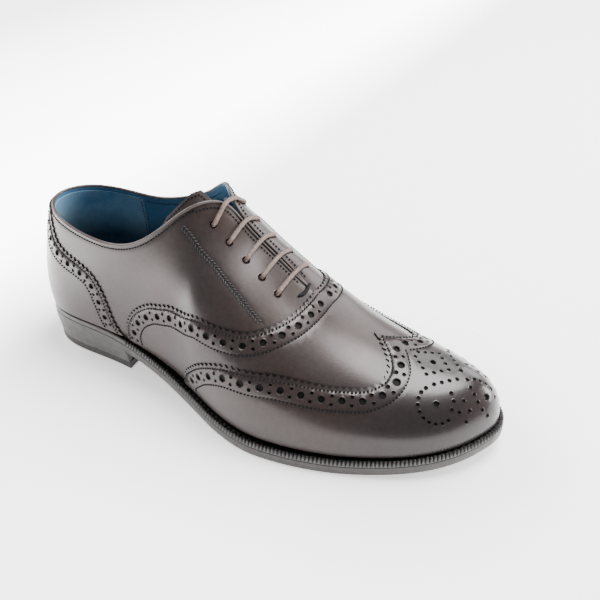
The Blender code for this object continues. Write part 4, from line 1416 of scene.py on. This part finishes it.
def between(first, second, count):
    return [Spot(*p) for p in np.linspace(first, second, count)]


def from_above(spots):
    """Points of the sheet under places in plan."""
    target = np.array(spots, float)
    w, v = np.meshgrid(np.arange(225.0, 2 * TOE - 225.0, 3.0), np.arange(0.25, 1.0, 0.02))
    coarse = np.column_stack([w.ravel(), v.ravel()])
    flat = last(*coarse.T)[:, :2]
    points = coarse[[np.hypot(*(flat - t).T).argmin() for t in target]]
    for _ in range(6):
        at = last(*points.T)
        at[:, :2] = target
        points = onto(points, at, 1)
    return points


def scroll_ring(centre, side):
    """Holes round the middle of a scroll, measured on the leather and open towards its tail."""
    at, normal = last(*centre), last_normal(*centre)
    ahead = unit(np.array([1.0, 0.0, 0.0]) - normal * normal[0])
    outward = np.cross(normal, ahead) * side
    angle = np.radians(np.linspace(*SCROLL_TURN, SCROLL_HOLES))[:, None]
    targets = at + SCROLL_RADIUS * (np.cos(angle) * ahead + np.sin(angle) * outward)
    return onto(np.repeat([centre], SCROLL_HOLES, axis=0), targets)


def toe_ornament(sizes):
    """Punched ornament of the toe: a diamond, two scrolls with tails and a fan in front, both sides alike."""
    small = between(DIAMOND[0], DIAMOND[1], 4) + between(DIAMOND[1], DIAMOND[2], 4)[1:-1]
    small += between(*TAIL, 4) + FRONT + FILL_NEAR + FILL_FAR
    wide, narrow = sizes.large_hole / MM / 2.6, sizes.small_hole / MM / 2
    holes = []
    for spots, radius, sides in (
        (LARGE_MIDDLE, wide, (1.0,)),
        (LARGE_SIDE, wide, (-1.0, 1.0)),
        (SMALL_MIDDLE, narrow, (1.0,)),
        (small, narrow, (-1.0, 1.0)),
    ):
        for side in sides:
            places = from_above([(s.along, ORNAMENT_AXIS + side * s.across) for s in spots])
            holes += [Hole(*p, radius) for p in places]
            if spots is LARGE_SIDE:
                holes += [Hole(*p, narrow) for p in scroll_ring(places[0], side)]
    return holes


class SHOE_OT_wing_cap(bpy.types.Operator):
    """Wing cap with its band and the punched ornament on the toe"""

    bl_idname = "shoe.wing_cap"
    bl_label = "Wing cap"

    def execute(self, context):
        sizes = context.scene.shoe_sizes
        border, sides = forefoot(CAP_EDGE, sizes)
        holes = toe_ornament(sizes)
        overlay("wing_cap_leather", border, sides, CAP_FACE, CAP_BED, sizes, ["wing_cap"], holes)
        return {"FINISHED"}


class SHOE_OT_counter(bpy.types.Operator):
    """Heel counter with its band"""

    bl_idname = "shoe.counter"
    bl_label = "Heel counter"

    def execute(self, context):
        sizes = context.scene.shoe_sizes
        border, sides = back_part(COUNTER_EDGE, sizes)
        overlay("counter_leather", border, sides, OVERLAY_FACE, OVERLAY_BED, sizes, ["heel_counter"])
        return {"FINISHED"}


HEEL_LINING = 62.0  # the heel lining runs this far round each side
HEEL_LINING_TOP = 0.965  # and ends at this share of the sections
LINING_DEPTHS = (-1.45, -2.0)
HEEL_LINING_DEPTHS = (-2.04, -2.5)
LINING_SEAM = -2.04  # depths of the stitches
HEEL_SEAM = -2.52
LINING_STITCH = (1.5, 0.7, 0.4)
SOCK_IN = 3.2  # distance of the sock from the feather line


def lined(name, w, v, depths, skin, angle, caps=False):
    """A sheet of lining between two depths inside the last."""
    face = shell_point(w[None, :], v[:, None], depths[0])
    back = shell_point(w[None, :], v[::-1, None], depths[1])
    rows = np.concatenate([face, back, face[:1]])
    return wrapped_grid(name, rows, [finish(skin)], angle, caps=caps)


def lining_seam(line, pitch, height):
    """Stitches along a line of the sheet, seen from inside."""
    places, headings, normals = stitch_run(line, pitch, height)
    return places, headings, -normals


class SHOE_OT_lining(bpy.types.Operator):
    """Lining of the upper and the sock on the insole"""

    bl_idname = "shoe.lining"
    bl_label = "Lining"

    def execute(self, context):
        sizes = context.scene.shoe_sizes
        pitch = sizes.stitch_pitch / MM
        w, v = sole_outline(240), np.linspace(0.0, 1.0, 31)
        dress(lined("lining_leather_sheet", w, v, LINING_DEPTHS, "lining", 60.0), "lining_leather")
        w, v = np.linspace(-HEEL_LINING, HEEL_LINING, 121), np.linspace(0.1, HEEL_LINING_TOP, 25)
        heel = lined("heel_lining_sheet", w, v, HEEL_LINING_DEPTHS, "heel_lining", 40.0, caps=True)
        dress(heel, "lining_leather")
        seams = []
        for side in (1.0, -1.0):
            line = side_line(HEEL_LINING + 1.0, FACING_TOP - 6.0, 0.8)
            line = inset(line if side > 0 else mirror(line), 3.4, side)
            seams.append(lining_seam(line, pitch, LINING_SEAM))
            share = np.arange(0.2, 0.93, 0.005)
            line = np.column_stack([np.full(len(share), side * (HEEL_LINING - 1.4)), share])
            seams.append(lining_seam(line, pitch, HEEL_SEAM))
        dress(sew("lining_stitches", seams, LINING_STITCH, finish("thread")), "lining_leather")
        ring = sole_outline(240)
        low = OUTSOLE_THICK + WELT_THICK + 2 * GAP
        high = low + INSOLE_THICK
        levels = [(-SOCK_IN, low), (-SOCK_IN, high - 0.5), (-SOCK_IN - 0.5, high)]
        dress(layered("insole_sock", ring, levels, [finish("heel_lining")]), "lining_leather", "insole")
        return {"FINISHED"}


def sole_outline(count):
    return np.linspace(0.0, 2 * TOE, count + 1)


FACE_RINGS = (0.94, 0.7, 0.35, 0.0)  # shares of the way out from the middle line to the rim


def drawn_in(rim, share):
    """A ring between a rim and the middle line between its two sides."""
    middle = (rim + rim[::-1]) / 2
    return middle + (rim - middle) * share


def layered(name, w, levels, skins, ledge=False):
    """A solid through outlines of the sole, each moved out and up, its two faces drawn to a middle line."""
    rims = []
    for out, height in levels:
        reach = np.full(len(w), out) + (ledge_at(w) if ledge else 0.0)
        rims.append(sole_ring(w, reach, height))
    rows = faced(rims[0], levels[0][1])[::-1] + rims + faced(rims[-1], levels[-1][1])
    return wrapped_grid(name, np.array(rows), skins, 35.0)


def faced(rim, height):
    """Rings from a rim to the middle line between its two sides, following the sole's curve."""
    rings = [drawn_in(rim, share) for share in FACE_RINGS]
    for ring in rings:
        ring[:, 2] = tread_z(ring[:, 0]) + height
    return rings


BindingRow = namedtuple("BindingRow", "station height girth")
BINDING = [
    BindingRow(0.0, -0.95, 1.0),
    BindingRow(120.0, -0.95, 1.0),
    BindingRow(140.0, -0.5, 0.8),
    BindingRow(THROAT, -0.4, 0.7),
]


class SHOE_OT_binding(bpy.types.Operator):
    """Rolled edge round the opening and down the facings"""

    bl_idname = "shoe.binding"
    bl_label = "Binding"

    def execute(self, context):
        radius = context.scene.shoe_sizes.binding / MM / 2
        w = np.linspace(-THROAT + 1.5, THROAT - 1.5, 620)
        stations = [row.station for row in BINDING]
        height = np.interp(np.abs(w), stations, [row.height for row in BINDING])
        path = shell_point(w, np.ones(len(w)), height[:, None])
        size = np.interp(np.abs(w), stations, [row.girth * radius for row in BINDING])
        dress(tube("collar_binding", path, size, [finish("binding")], 12), "upper_leather")
        return {"FINISHED"}


TACK = [Border(197.3, 0.9), Border(199.0, 0.935), Border(199.7, 0.97), Border(199.4, 1.0)]  # its lateral part
TACK_END = Border(198.6, 0.965)  # medial end
TACK_RADIUS = 1.05


class SHOE_OT_tack(bpy.types.Operator):
    """Thread bar that holds the facings together at the throat"""

    bl_idname = "shoe.tack"
    bl_label = "Throat tack"

    def execute(self, context):
        line = np.concatenate([np.array(TACK), mirror(np.array([TACK_END]))])
        path = rounded(shell_point(*line.T, 0.25), 0.35)
        share = np.linspace(-1.0, 1.0, len(path))
        size = TACK_RADIUS * np.sqrt(np.maximum(1.0 - share**4, 0.05))
        bar = tube("throat_tack", path, size, [finish("thread")], 12)
        dress(bar, "upper_leather")
        return {"FINISHED"}


TONGUE_ROW = 2.6  # distance of its stitches from its free edge
TONGUE_COLUMNS = 18
TONGUE_THREAD = (0.8, 0.7)  # width and height of its stitches
TONGUE_THREAD_RISE = 0.05
EARS = (115.0, 142.0)  # stations between which its free edge is stitched


class SHOE_OT_tongue(bpy.types.Operator):
    """Tongue with its stitched border"""

    bl_idname = "shoe.tongue"
    bl_label = "Tongue"

    def execute(self, context):
        sizes = context.scene.shoe_sizes
        stations = np.concatenate([np.arange(112.0, 148.0, 1.0), np.arange(150.0, 207.0, 2.0)])
        faces = tongue_faces(stations, TONGUE_COLUMNS)
        sheets = [tongue_sheet(stations, TONGUE_COLUMNS, deeper) for deeper in (0.0, TONGUE_THICK)]
        points, solid = slab(*sheets, faces)
        tongue = finished(add_mesh("tongue_leather", points, solid, [finish("tongue")]), 50.0)
        dress(tongue, "upper_leather", "tongue")
        ears = stations[(stations > EARS[0]) & (stations < EARS[1])]
        run = []
        for station in ears:
            row = tongue_row(station)
            row = row._replace(rise=row.rise - TONGUE_ROW)
            run.append(tongue_side(station, row, row.depth - TONGUE_THREAD_RISE, 2)[-1])
        line = rounded(run, sizes.stitch_pitch / MM)
        share = np.linspace(0.0, 1.0, len(line))
        normals = last_normal(np.interp(share, np.linspace(0.0, 1.0, len(ears)), ears), 1.0)
        runs = [(line, unit(np.gradient(line, axis=0)), normals)]
        size = (sizes.stitch / MM, *TONGUE_THREAD)
        dress(sew("tongue_stitches", runs, size, finish("thread")), "upper_leather")
        return {"FINISHED"}


def eyelet_points():
    """Centres and directions of the lace holes, lateral then medial, from the top down."""
    found = []
    for station, share in EYELETS:
        found.append([(last(w, share), last_normal(w, share)) for w in (station, 2 * TOE - station)])
    return found


def bar_stations(station, share, shares, middle):
    """Stations of a lace bar that runs straight across: it meets the ridge at this distance from the heel."""
    along = np.arange(TONGUE_MEDIAL, THROAT, 0.5)
    crossing = np.interp(middle, last(along, np.ones(len(along)))[:, 0], along)
    return station + (crossing - station) * (shares - share) / (1 - share)


def lace_bar(i, pair, radius):
    """One bar of the lace: up through a hole, over both facings and down through the other."""
    above = 0.85 * radius
    station, share = EYELETS[i]
    (first, rise), (second, fall) = pair
    over = unit(second - first)
    shares = np.array([share + 0.04, 0.5 + share / 2, 0.995])
    bar = bar_stations(station, share, shares, (first[0] + second[0]) / 2)
    path = [first - rise * 3.0, first - rise * 1.2, first + rise * 0.6 + over * 0.25]
    path += list(shell_point(bar, shares, above))
    path += list(shell_point(2 * TOE - bar, shares, above)[::-1])
    path += [second + fall * 0.6 - over * 0.25, second - fall * 1.2, second - fall * 3.0]
    return rounded(path, 0.4)


class SHOE_OT_lace(bpy.types.Operator):
    """Lace, five bars across the facings"""

    bl_idname = "shoe.lace"
    bl_label = "Lace"

    def execute(self, context):
        radius = context.scene.shoe_sizes.lace / MM / 2
        for i, pair in enumerate(eyelet_points()):
            nodes = ["lace"] if i == 0 else []
            bar = tube(f"lace_bar_{i + 1}", lace_bar(i, pair, radius), radius, [finish("lace")], 14)
            dress(bar, "lace_cord", *nodes)
        return {"FINISHED"}


WELT_STITCH = 3.4  # distance between the stitches in the channel of the welt
WELT_THREAD = (2.6, 1.1, 0.8)
WHEEL_IN = 0.36  # how far the wheel presses the lip in and down, and how much ink and painted shade it leaves in the grooves
WHEEL_DOWN = 0.42
WHEEL_SHADE_INK = 0.95
BREAST_HOLLOW = 3.0  # depth of the heel's hollow front face
Lip = namedtuple("Lip", "share extra height wheeled ink")  # share of the ledge, and further out or in; the last field is ink with painted shade


def strip(name, w, profile, skins, wheel=None):
    """A strip along the sole's edge, its outer lip pressed by a wheel, darkened by ink and painted shade in
    the grooves and the channel.
    """
    ledge = ledge_at(w)
    reach = reach_of(np.hypot(*np.diff(sole_ring(w, ledge, 0.0)[:, :2], axis=0).T))
    wave = np.cos(2 * math.pi * reach / wheel) if wheel else np.ones(len(w))
    rows, inks_and_shade = [], []
    for lip in profile:
        pressed = WHEEL_IN * lip.wheeled * (wave - 1.0)
        row = sole_ring(w, ledge * lip.share + lip.extra + pressed, lip.height)
        row[:, 2] += WHEEL_DOWN * lip.wheeled * (wave - 1.0)
        rows.append(row)
        inks_and_shade.append(lip.ink + WHEEL_SHADE_INK * lip.wheeled * (1.0 - wave))
    rows, inks_and_shade = np.array(rows + rows[:1]), np.array(inks_and_shade + inks_and_shade[:1])
    return wrapped_grid(name, rows, skins, 50.0, caps=True, burnish_and_shade=inks_and_shade)


class SHOE_OT_sole(bpy.types.Operator):
    """Outsole, wheeled welt and the plain rand round the heel"""

    bl_idname = "shoe.sole"
    bl_label = "Sole and welt"

    def execute(self, context):
        sizes = context.scene.shoe_sizes
        ring = sole_outline(420)
        top = OUTSOLE_THICK
        levels = [(-0.9, 0.0), (-0.3, 0.25), (0.0, 0.9), (0.12, 2.2)]
        levels += [(0.12, top - 1.0), (0.06, top), (-0.2, top + GAP)]
        dress(layered("outsole_leather", ring, levels, [finish("sole_ink")], True), "sole_edge", "outsole")
        low, high = OUTSOLE_THICK + GAP, OUTSOLE_THICK + GAP + WELT_THICK
        lip = [
            Lip(0.0, -5.0, low, 0.0, 0.0),
            Lip(1.0, -0.15, low, 0.0, 0.3),
            Lip(1.0, 0.0, low + 0.4, 0.0, 0.0),
            Lip(1.0, 0.05, high - 1.9, 0.5, 0.0),
            Lip(1.0, 0.05, high - 1.2, 1.0, 0.0),
            Lip(1.0, -0.2, high - 0.1, 1.0, 0.0),
            Lip(1.0, -0.8, high + 0.4, 1.0, 0.0),
            Lip(1.0, -1.5, high + 0.3, 1.0, 0.0),
            # the channel under the upper: ink with painted shade
            Lip(1.0, -1.95, high - 0.2, 0.7, 0.6),
            Lip(1.0, -2.2, high - 0.9, 0.1, 1.6),
            Lip(0.4, 0.2, high - 1.3, 0.0, 1.9),
            Lip(0.0, 0.6, high - 1.2, 0.0, 1.9),
            Lip(0.0, -5.0, high - 0.6, 0.0, 1.9),
        ]
        breast = station_of(BREAST_X)
        w = np.arange(breast, 2 * TOE - breast, 0.34)
        welt = strip("welt_wheeled", w, lip, [finish("welt_ink")], sizes.wheel_pitch / MM)
        dress(welt, "sole_edge", "welt")
        plain = [mark._replace(wheeled=0.0, ink=0.25 * mark.ink) for mark in lip]
        w = np.linspace(-breast, breast, 220)
        dress(strip("rand_strip", w, plain, [finish("sole_ink")]), "sole_edge", "heel_rand")
        marks = np.arange(breast + 3.0, 2 * TOE - breast - 3.0, WELT_STITCH)
        seat = sole_ring(marks, 0.48 * ledge_at(marks), high - 1.0)
        raised = np.tile((0.0, 0.0, 1.0), (len(marks), 1))
        runs = [(seat, unit(np.gradient(seat, axis=0)), raised)]
        dress(sew("welt_stitches", runs, WELT_THREAD, finish("braid")), "sole_edge")
        return {"FINISHED"}


def heel_outline(draw_in):
    """Outline of the heel, drawn in from the sole's edge, with its hollowed front face."""
    side = np.linspace(0.0, station_of(BREAST_X), 90)
    lateral = sole_ring(side, ledge_at(side) - draw_in, 0.0)
    medial = sole_ring(2 * TOE - side, ledge_at(2 * TOE - side) - draw_in, 0.0)
    t = np.linspace(0.0, 1.0, 26)[1:-1, None]
    front = lateral[-1] * (1 - t) + medial[-1] * t
    front[:, 0] -= 4 * BREAST_HOLLOW * (t * (1 - t))[:, 0]
    return np.concatenate([lateral, front, medial[::-1]])


def heel_part(name, levels, skins):
    """A part of the heel through its outlines. Each level is (drawn in, height as a function of x)."""
    rims = []
    for draw_in, height in levels:
        rim = heel_outline(draw_in)
        rim[:, 2] = height(rim[:, 0])
        rims.append(rim)
    rows = [drawn_in(rims[0], share) for share in FACE_RINGS[::-1]] + rims
    rows += [drawn_in(rims[-1], share) for share in FACE_RINGS]
    return wrapped_grid(name, np.array(rows), skins, 35.0)


class SHOE_OT_heel(bpy.types.Operator):
    """Heel: stacked lifts and the top piece"""

    bl_idname = "shoe.heel"
    bl_label = "Heel"

    def execute(self, context):
        low = TOP_LIFT + GAP

        def level(share):
            return lambda x: low + (tread_z(x) - GAP - low) * share

        def even_at(height):
            return lambda x: np.full(len(x), height)

        levels = [(HEEL_TAPER + 0.1, level(0.0)), (HEEL_TAPER, level(0.03))]
        levels += [(HEEL_TAPER * (1 - lift), level(lift)) for lift in (0.33, 0.66)]
        levels += [(-0.05, tread_z), (-0.14, lambda x: tread_z(x) + 1.0), (0.0, lambda x: tread_z(x) + 1.4)]
        dress(heel_part("heel_lifts", levels, [finish("sole_ink")]), "sole_edge", "heel_stack")
        flat = [
            (HEEL_TAPER + 0.7, even_at(0.0)),
            (HEEL_TAPER + 0.1, even_at(0.7)),
            (HEEL_TAPER, even_at(TOP_LIFT - 0.15)),
            (HEEL_TAPER + 0.15, even_at(TOP_LIFT + GAP - 0.02)),
        ]
        dress(heel_part("heel_top_piece", flat, [finish("top_piece")]), "top_lift", "heel_top_lift")
        return {"FINISHED"}


# Stage

CAMERA_TARGET = Vector((0.115695, 0.036146, 0.035))
CAMERA_AZIMUTH = 28.42063
CAMERA_ELEVATION = 32.70606
CAMERA_DISTANCE = 0.4814396
CAMERA_LENS = 48.2884
SoftBox = namedtuple("SoftBox", "name place size power")
SOFT_BOXES = [
    SoftBox("overhead", (0.34, 0.45, 1.565), (0.9, 0.9), 56.0),
    SoftBox("far_side", (0.42, 1.36, 0.80), (0.55, 1.1), 11.5),
    SoftBox("far_front", (1.27, 0.87, 0.41), (0.6, 0.5), 21.0),
    SoftBox("behind", (-1.27, 0.19, 0.85), (0.7, 0.7), 22.0),
]
LIGHT_AIM = Vector((0.1, 0.0, 0.05))
AIR_STRENGTH = 0.185
FLOOR_SIZE = 12.0
FLOOR_CLOUD = (0.8, 0.8, 0.8)
WHITE = (1.0, 1.0, 1.0, 1.0)


def add_soft_box(box):
    """A rectangular soft light aimed at the shoe."""
    bpy.ops.object.light_add(type="AREA", location=box.place)
    light = bpy.context.object
    light.name = box.name
    light.data.shape = "RECTANGLE"
    light.data.size, light.data.size_y = box.size
    light.data.energy = box.power
    light.rotation_euler = (LIGHT_AIM - Vector(box.place)).to_track_quat("-Z", "Y").to_euler()


GLOW_FROM = Vector((0.0, -0.004, 0.0))  # line under the shoe that the glow is measured from
GLOW_TO = Vector((0.19, -0.002, 0.0))
GLOW_NEAR = 0.035
GLOW_FAR = 0.12
GLOW = (0.45, 1.15)  # near and far; the low glow near the shoe is a painted contact shadow
Fade = namedtuple("Fade", "start end before after")  # distances, and what the glow is multiplied by
# a painted pool of light on the floor behind the heel
BEHIND_HEEL = Fade(-0.03, -0.16, 2.1, 7.0)
PAST_HEEL = Fade(-0.2, -0.65, 1.0, 0.3)
PAST_FRONT = Fade(-0.2, -0.6, 1.0, 0.4)
PAST_TOE = Fade(0.29, 0.48, 1.0, 0.2)
TOE_AHEAD = (0.966, -0.259, 0.0)  # direction that PAST_TOE is measured along


def floor_painted_glow(tree):
    """Painted light on the floor, which glows: low under the shoe as a painted contact shadow, full round it,
    stronger behind the heel as a painted pool of light, weaker far off.
    """
    x, y = place_along(tree, "X"), place_along(tree, "Y")
    held = tree.nodes.new("ShaderNodeClamp")
    tree.links.new(x, held.inputs["Value"])
    held.inputs["Min"].default_value = GLOW_FROM.x
    held.inputs["Max"].default_value = GLOW_TO.x
    middle = tree.nodes.new("ShaderNodeCombineXYZ")
    tree.links.new(held.outputs["Result"], middle.inputs["X"])
    middle.inputs["Y"].default_value = GLOW_FROM.y
    apart = tree.nodes.new("ShaderNodeVectorMath")
    apart.operation = "DISTANCE"
    tree.links.new(spot(tree), apart.inputs[0])
    tree.links.new(middle.outputs["Vector"], apart.inputs[1])
    glow = ranged(tree, apart.outputs["Value"], GLOW_NEAR, GLOW_FAR, *GLOW)
    ahead = tree.nodes.new("ShaderNodeVectorMath")
    ahead.operation = "DOT_PRODUCT"
    ahead.inputs[1].default_value = TOE_AHEAD
    tree.links.new(spot(tree), ahead.inputs[0])
    toe = ahead.outputs["Value"]
    for value, fade in ((x, BEHIND_HEEL), (x, PAST_HEEL), (y, PAST_FRONT), (toe, PAST_TOE)):
        both = tree.nodes.new("ShaderNodeMath")
        both.operation = "MULTIPLY"
        tree.links.new(glow, both.inputs[0])
        tree.links.new(ranged(tree, value, *fade), both.inputs[1])
        glow = both.outputs["Value"]
    return glow


class SHOE_OT_stage(bpy.types.Operator):
    """Pale floor that glows as painted light, with a painted contact shadow, soft lights and the camera"""

    bl_idname = "shoe.stage"
    bl_label = "Stage"

    def execute(self, context):
        bpy.ops.object.select_all(action="DESELECT")
        bpy.ops.mesh.primitive_plane_add(size=FLOOR_SIZE)
        floor = context.object
        floor.name = "studio_floor"
        made, tree, shader = fresh("studio_white")
        pale = ranged(tree, noise(tree, 3.0), 0.3, 0.7, 0.0, 0.04)
        base = blended(tree, pale, context.scene.shoe_colours.floor, FLOOR_CLOUD)
        tree.links.new(base, shader.inputs["Base Color"])
        shader.inputs["Roughness"].default_value = 0.8
        shader.inputs["Emission Color"].default_value = WHITE
        # the floor glows as painted light, dimmer under the shoe as a painted shadow
        tree.links.new(floor_painted_glow(tree), shader.inputs["Emission Strength"])
        floor.data.materials.append(made)
        for box in SOFT_BOXES:
            add_soft_box(box)
        world = bpy.data.worlds.new("studio_air")
        world.use_nodes = True
        air = world.node_tree.nodes["Background"]
        air.inputs["Color"].default_value = WHITE
        air.inputs["Strength"].default_value = AIR_STRENGTH
        context.scene.world = world
        azimuth, elevation = math.radians(CAMERA_AZIMUTH), math.radians(CAMERA_ELEVATION)
        back = Vector((
            math.sin(azimuth) * math.cos(elevation),
            -math.cos(azimuth) * math.cos(elevation),
            math.sin(elevation),
        ))
        bpy.ops.object.camera_add(location=CAMERA_TARGET + back * CAMERA_DISTANCE)
        camera = context.object
        camera.rotation_euler = (-back).to_track_quat("-Z", "Y").to_euler()
        camera.data.lens = CAMERA_LENS
        camera.data.sensor_width = 36.0
        camera.data.clip_start = 0.01
        context.scene.camera = camera
        return {"FINISHED"}


class SHOE_PT_panel(bpy.types.Panel):
    """Lists the pieces of the shoe"""

    bl_idname = "SHOE_PT_panel"
    bl_label = "Brogue Oxford"
    bl_space_type = "VIEW_3D"
    bl_region_type = "UI"
    bl_category = "Shoe"

    def draw(self, context):
        for operator in OPERATORS:
            self.layout.operator(operator.bl_idname)
        for group in (context.scene.shoe_sizes, context.scene.shoe_colours):
            box = self.layout.box()
            for name in group.__annotations__:
                box.prop(group, name)


OPERATORS = (
    SHOE_OT_quarters,
    SHOE_OT_vamp,
    SHOE_OT_wing_cap,
    SHOE_OT_counter,
    SHOE_OT_lining,
    SHOE_OT_binding,
    SHOE_OT_tongue,
    SHOE_OT_tack,
    SHOE_OT_lace,
    SHOE_OT_sole,
    SHOE_OT_heel,
    SHOE_OT_stage,
)
CLASSES = (ShoeSizes, ShoeColours, *OPERATORS, SHOE_PT_panel)


def register():
    for cls in CLASSES:
        bpy.utils.register_class(cls)
    bpy.types.Scene.shoe_sizes = bpy.props.PointerProperty(type=ShoeSizes)
    bpy.types.Scene.shoe_colours = bpy.props.PointerProperty(type=ShoeColours)


def unregister():
    del bpy.types.Scene.shoe_colours
    del bpy.types.Scene.shoe_sizes
    for cls in reversed(CLASSES):
        bpy.utils.unregister_class(cls)


def main():
    register()
    bpy.ops.shoe.quarters()
    bpy.ops.shoe.vamp()
    bpy.ops.shoe.wing_cap()
    bpy.ops.shoe.counter()
    bpy.ops.shoe.lining()
    bpy.ops.shoe.binding()
    bpy.ops.shoe.tongue()
    bpy.ops.shoe.tack()
    bpy.ops.shoe.lace()
    bpy.ops.shoe.sole()
    bpy.ops.shoe.heel()
    bpy.ops.shoe.stage()


if __name__ == "__main__":
    main()
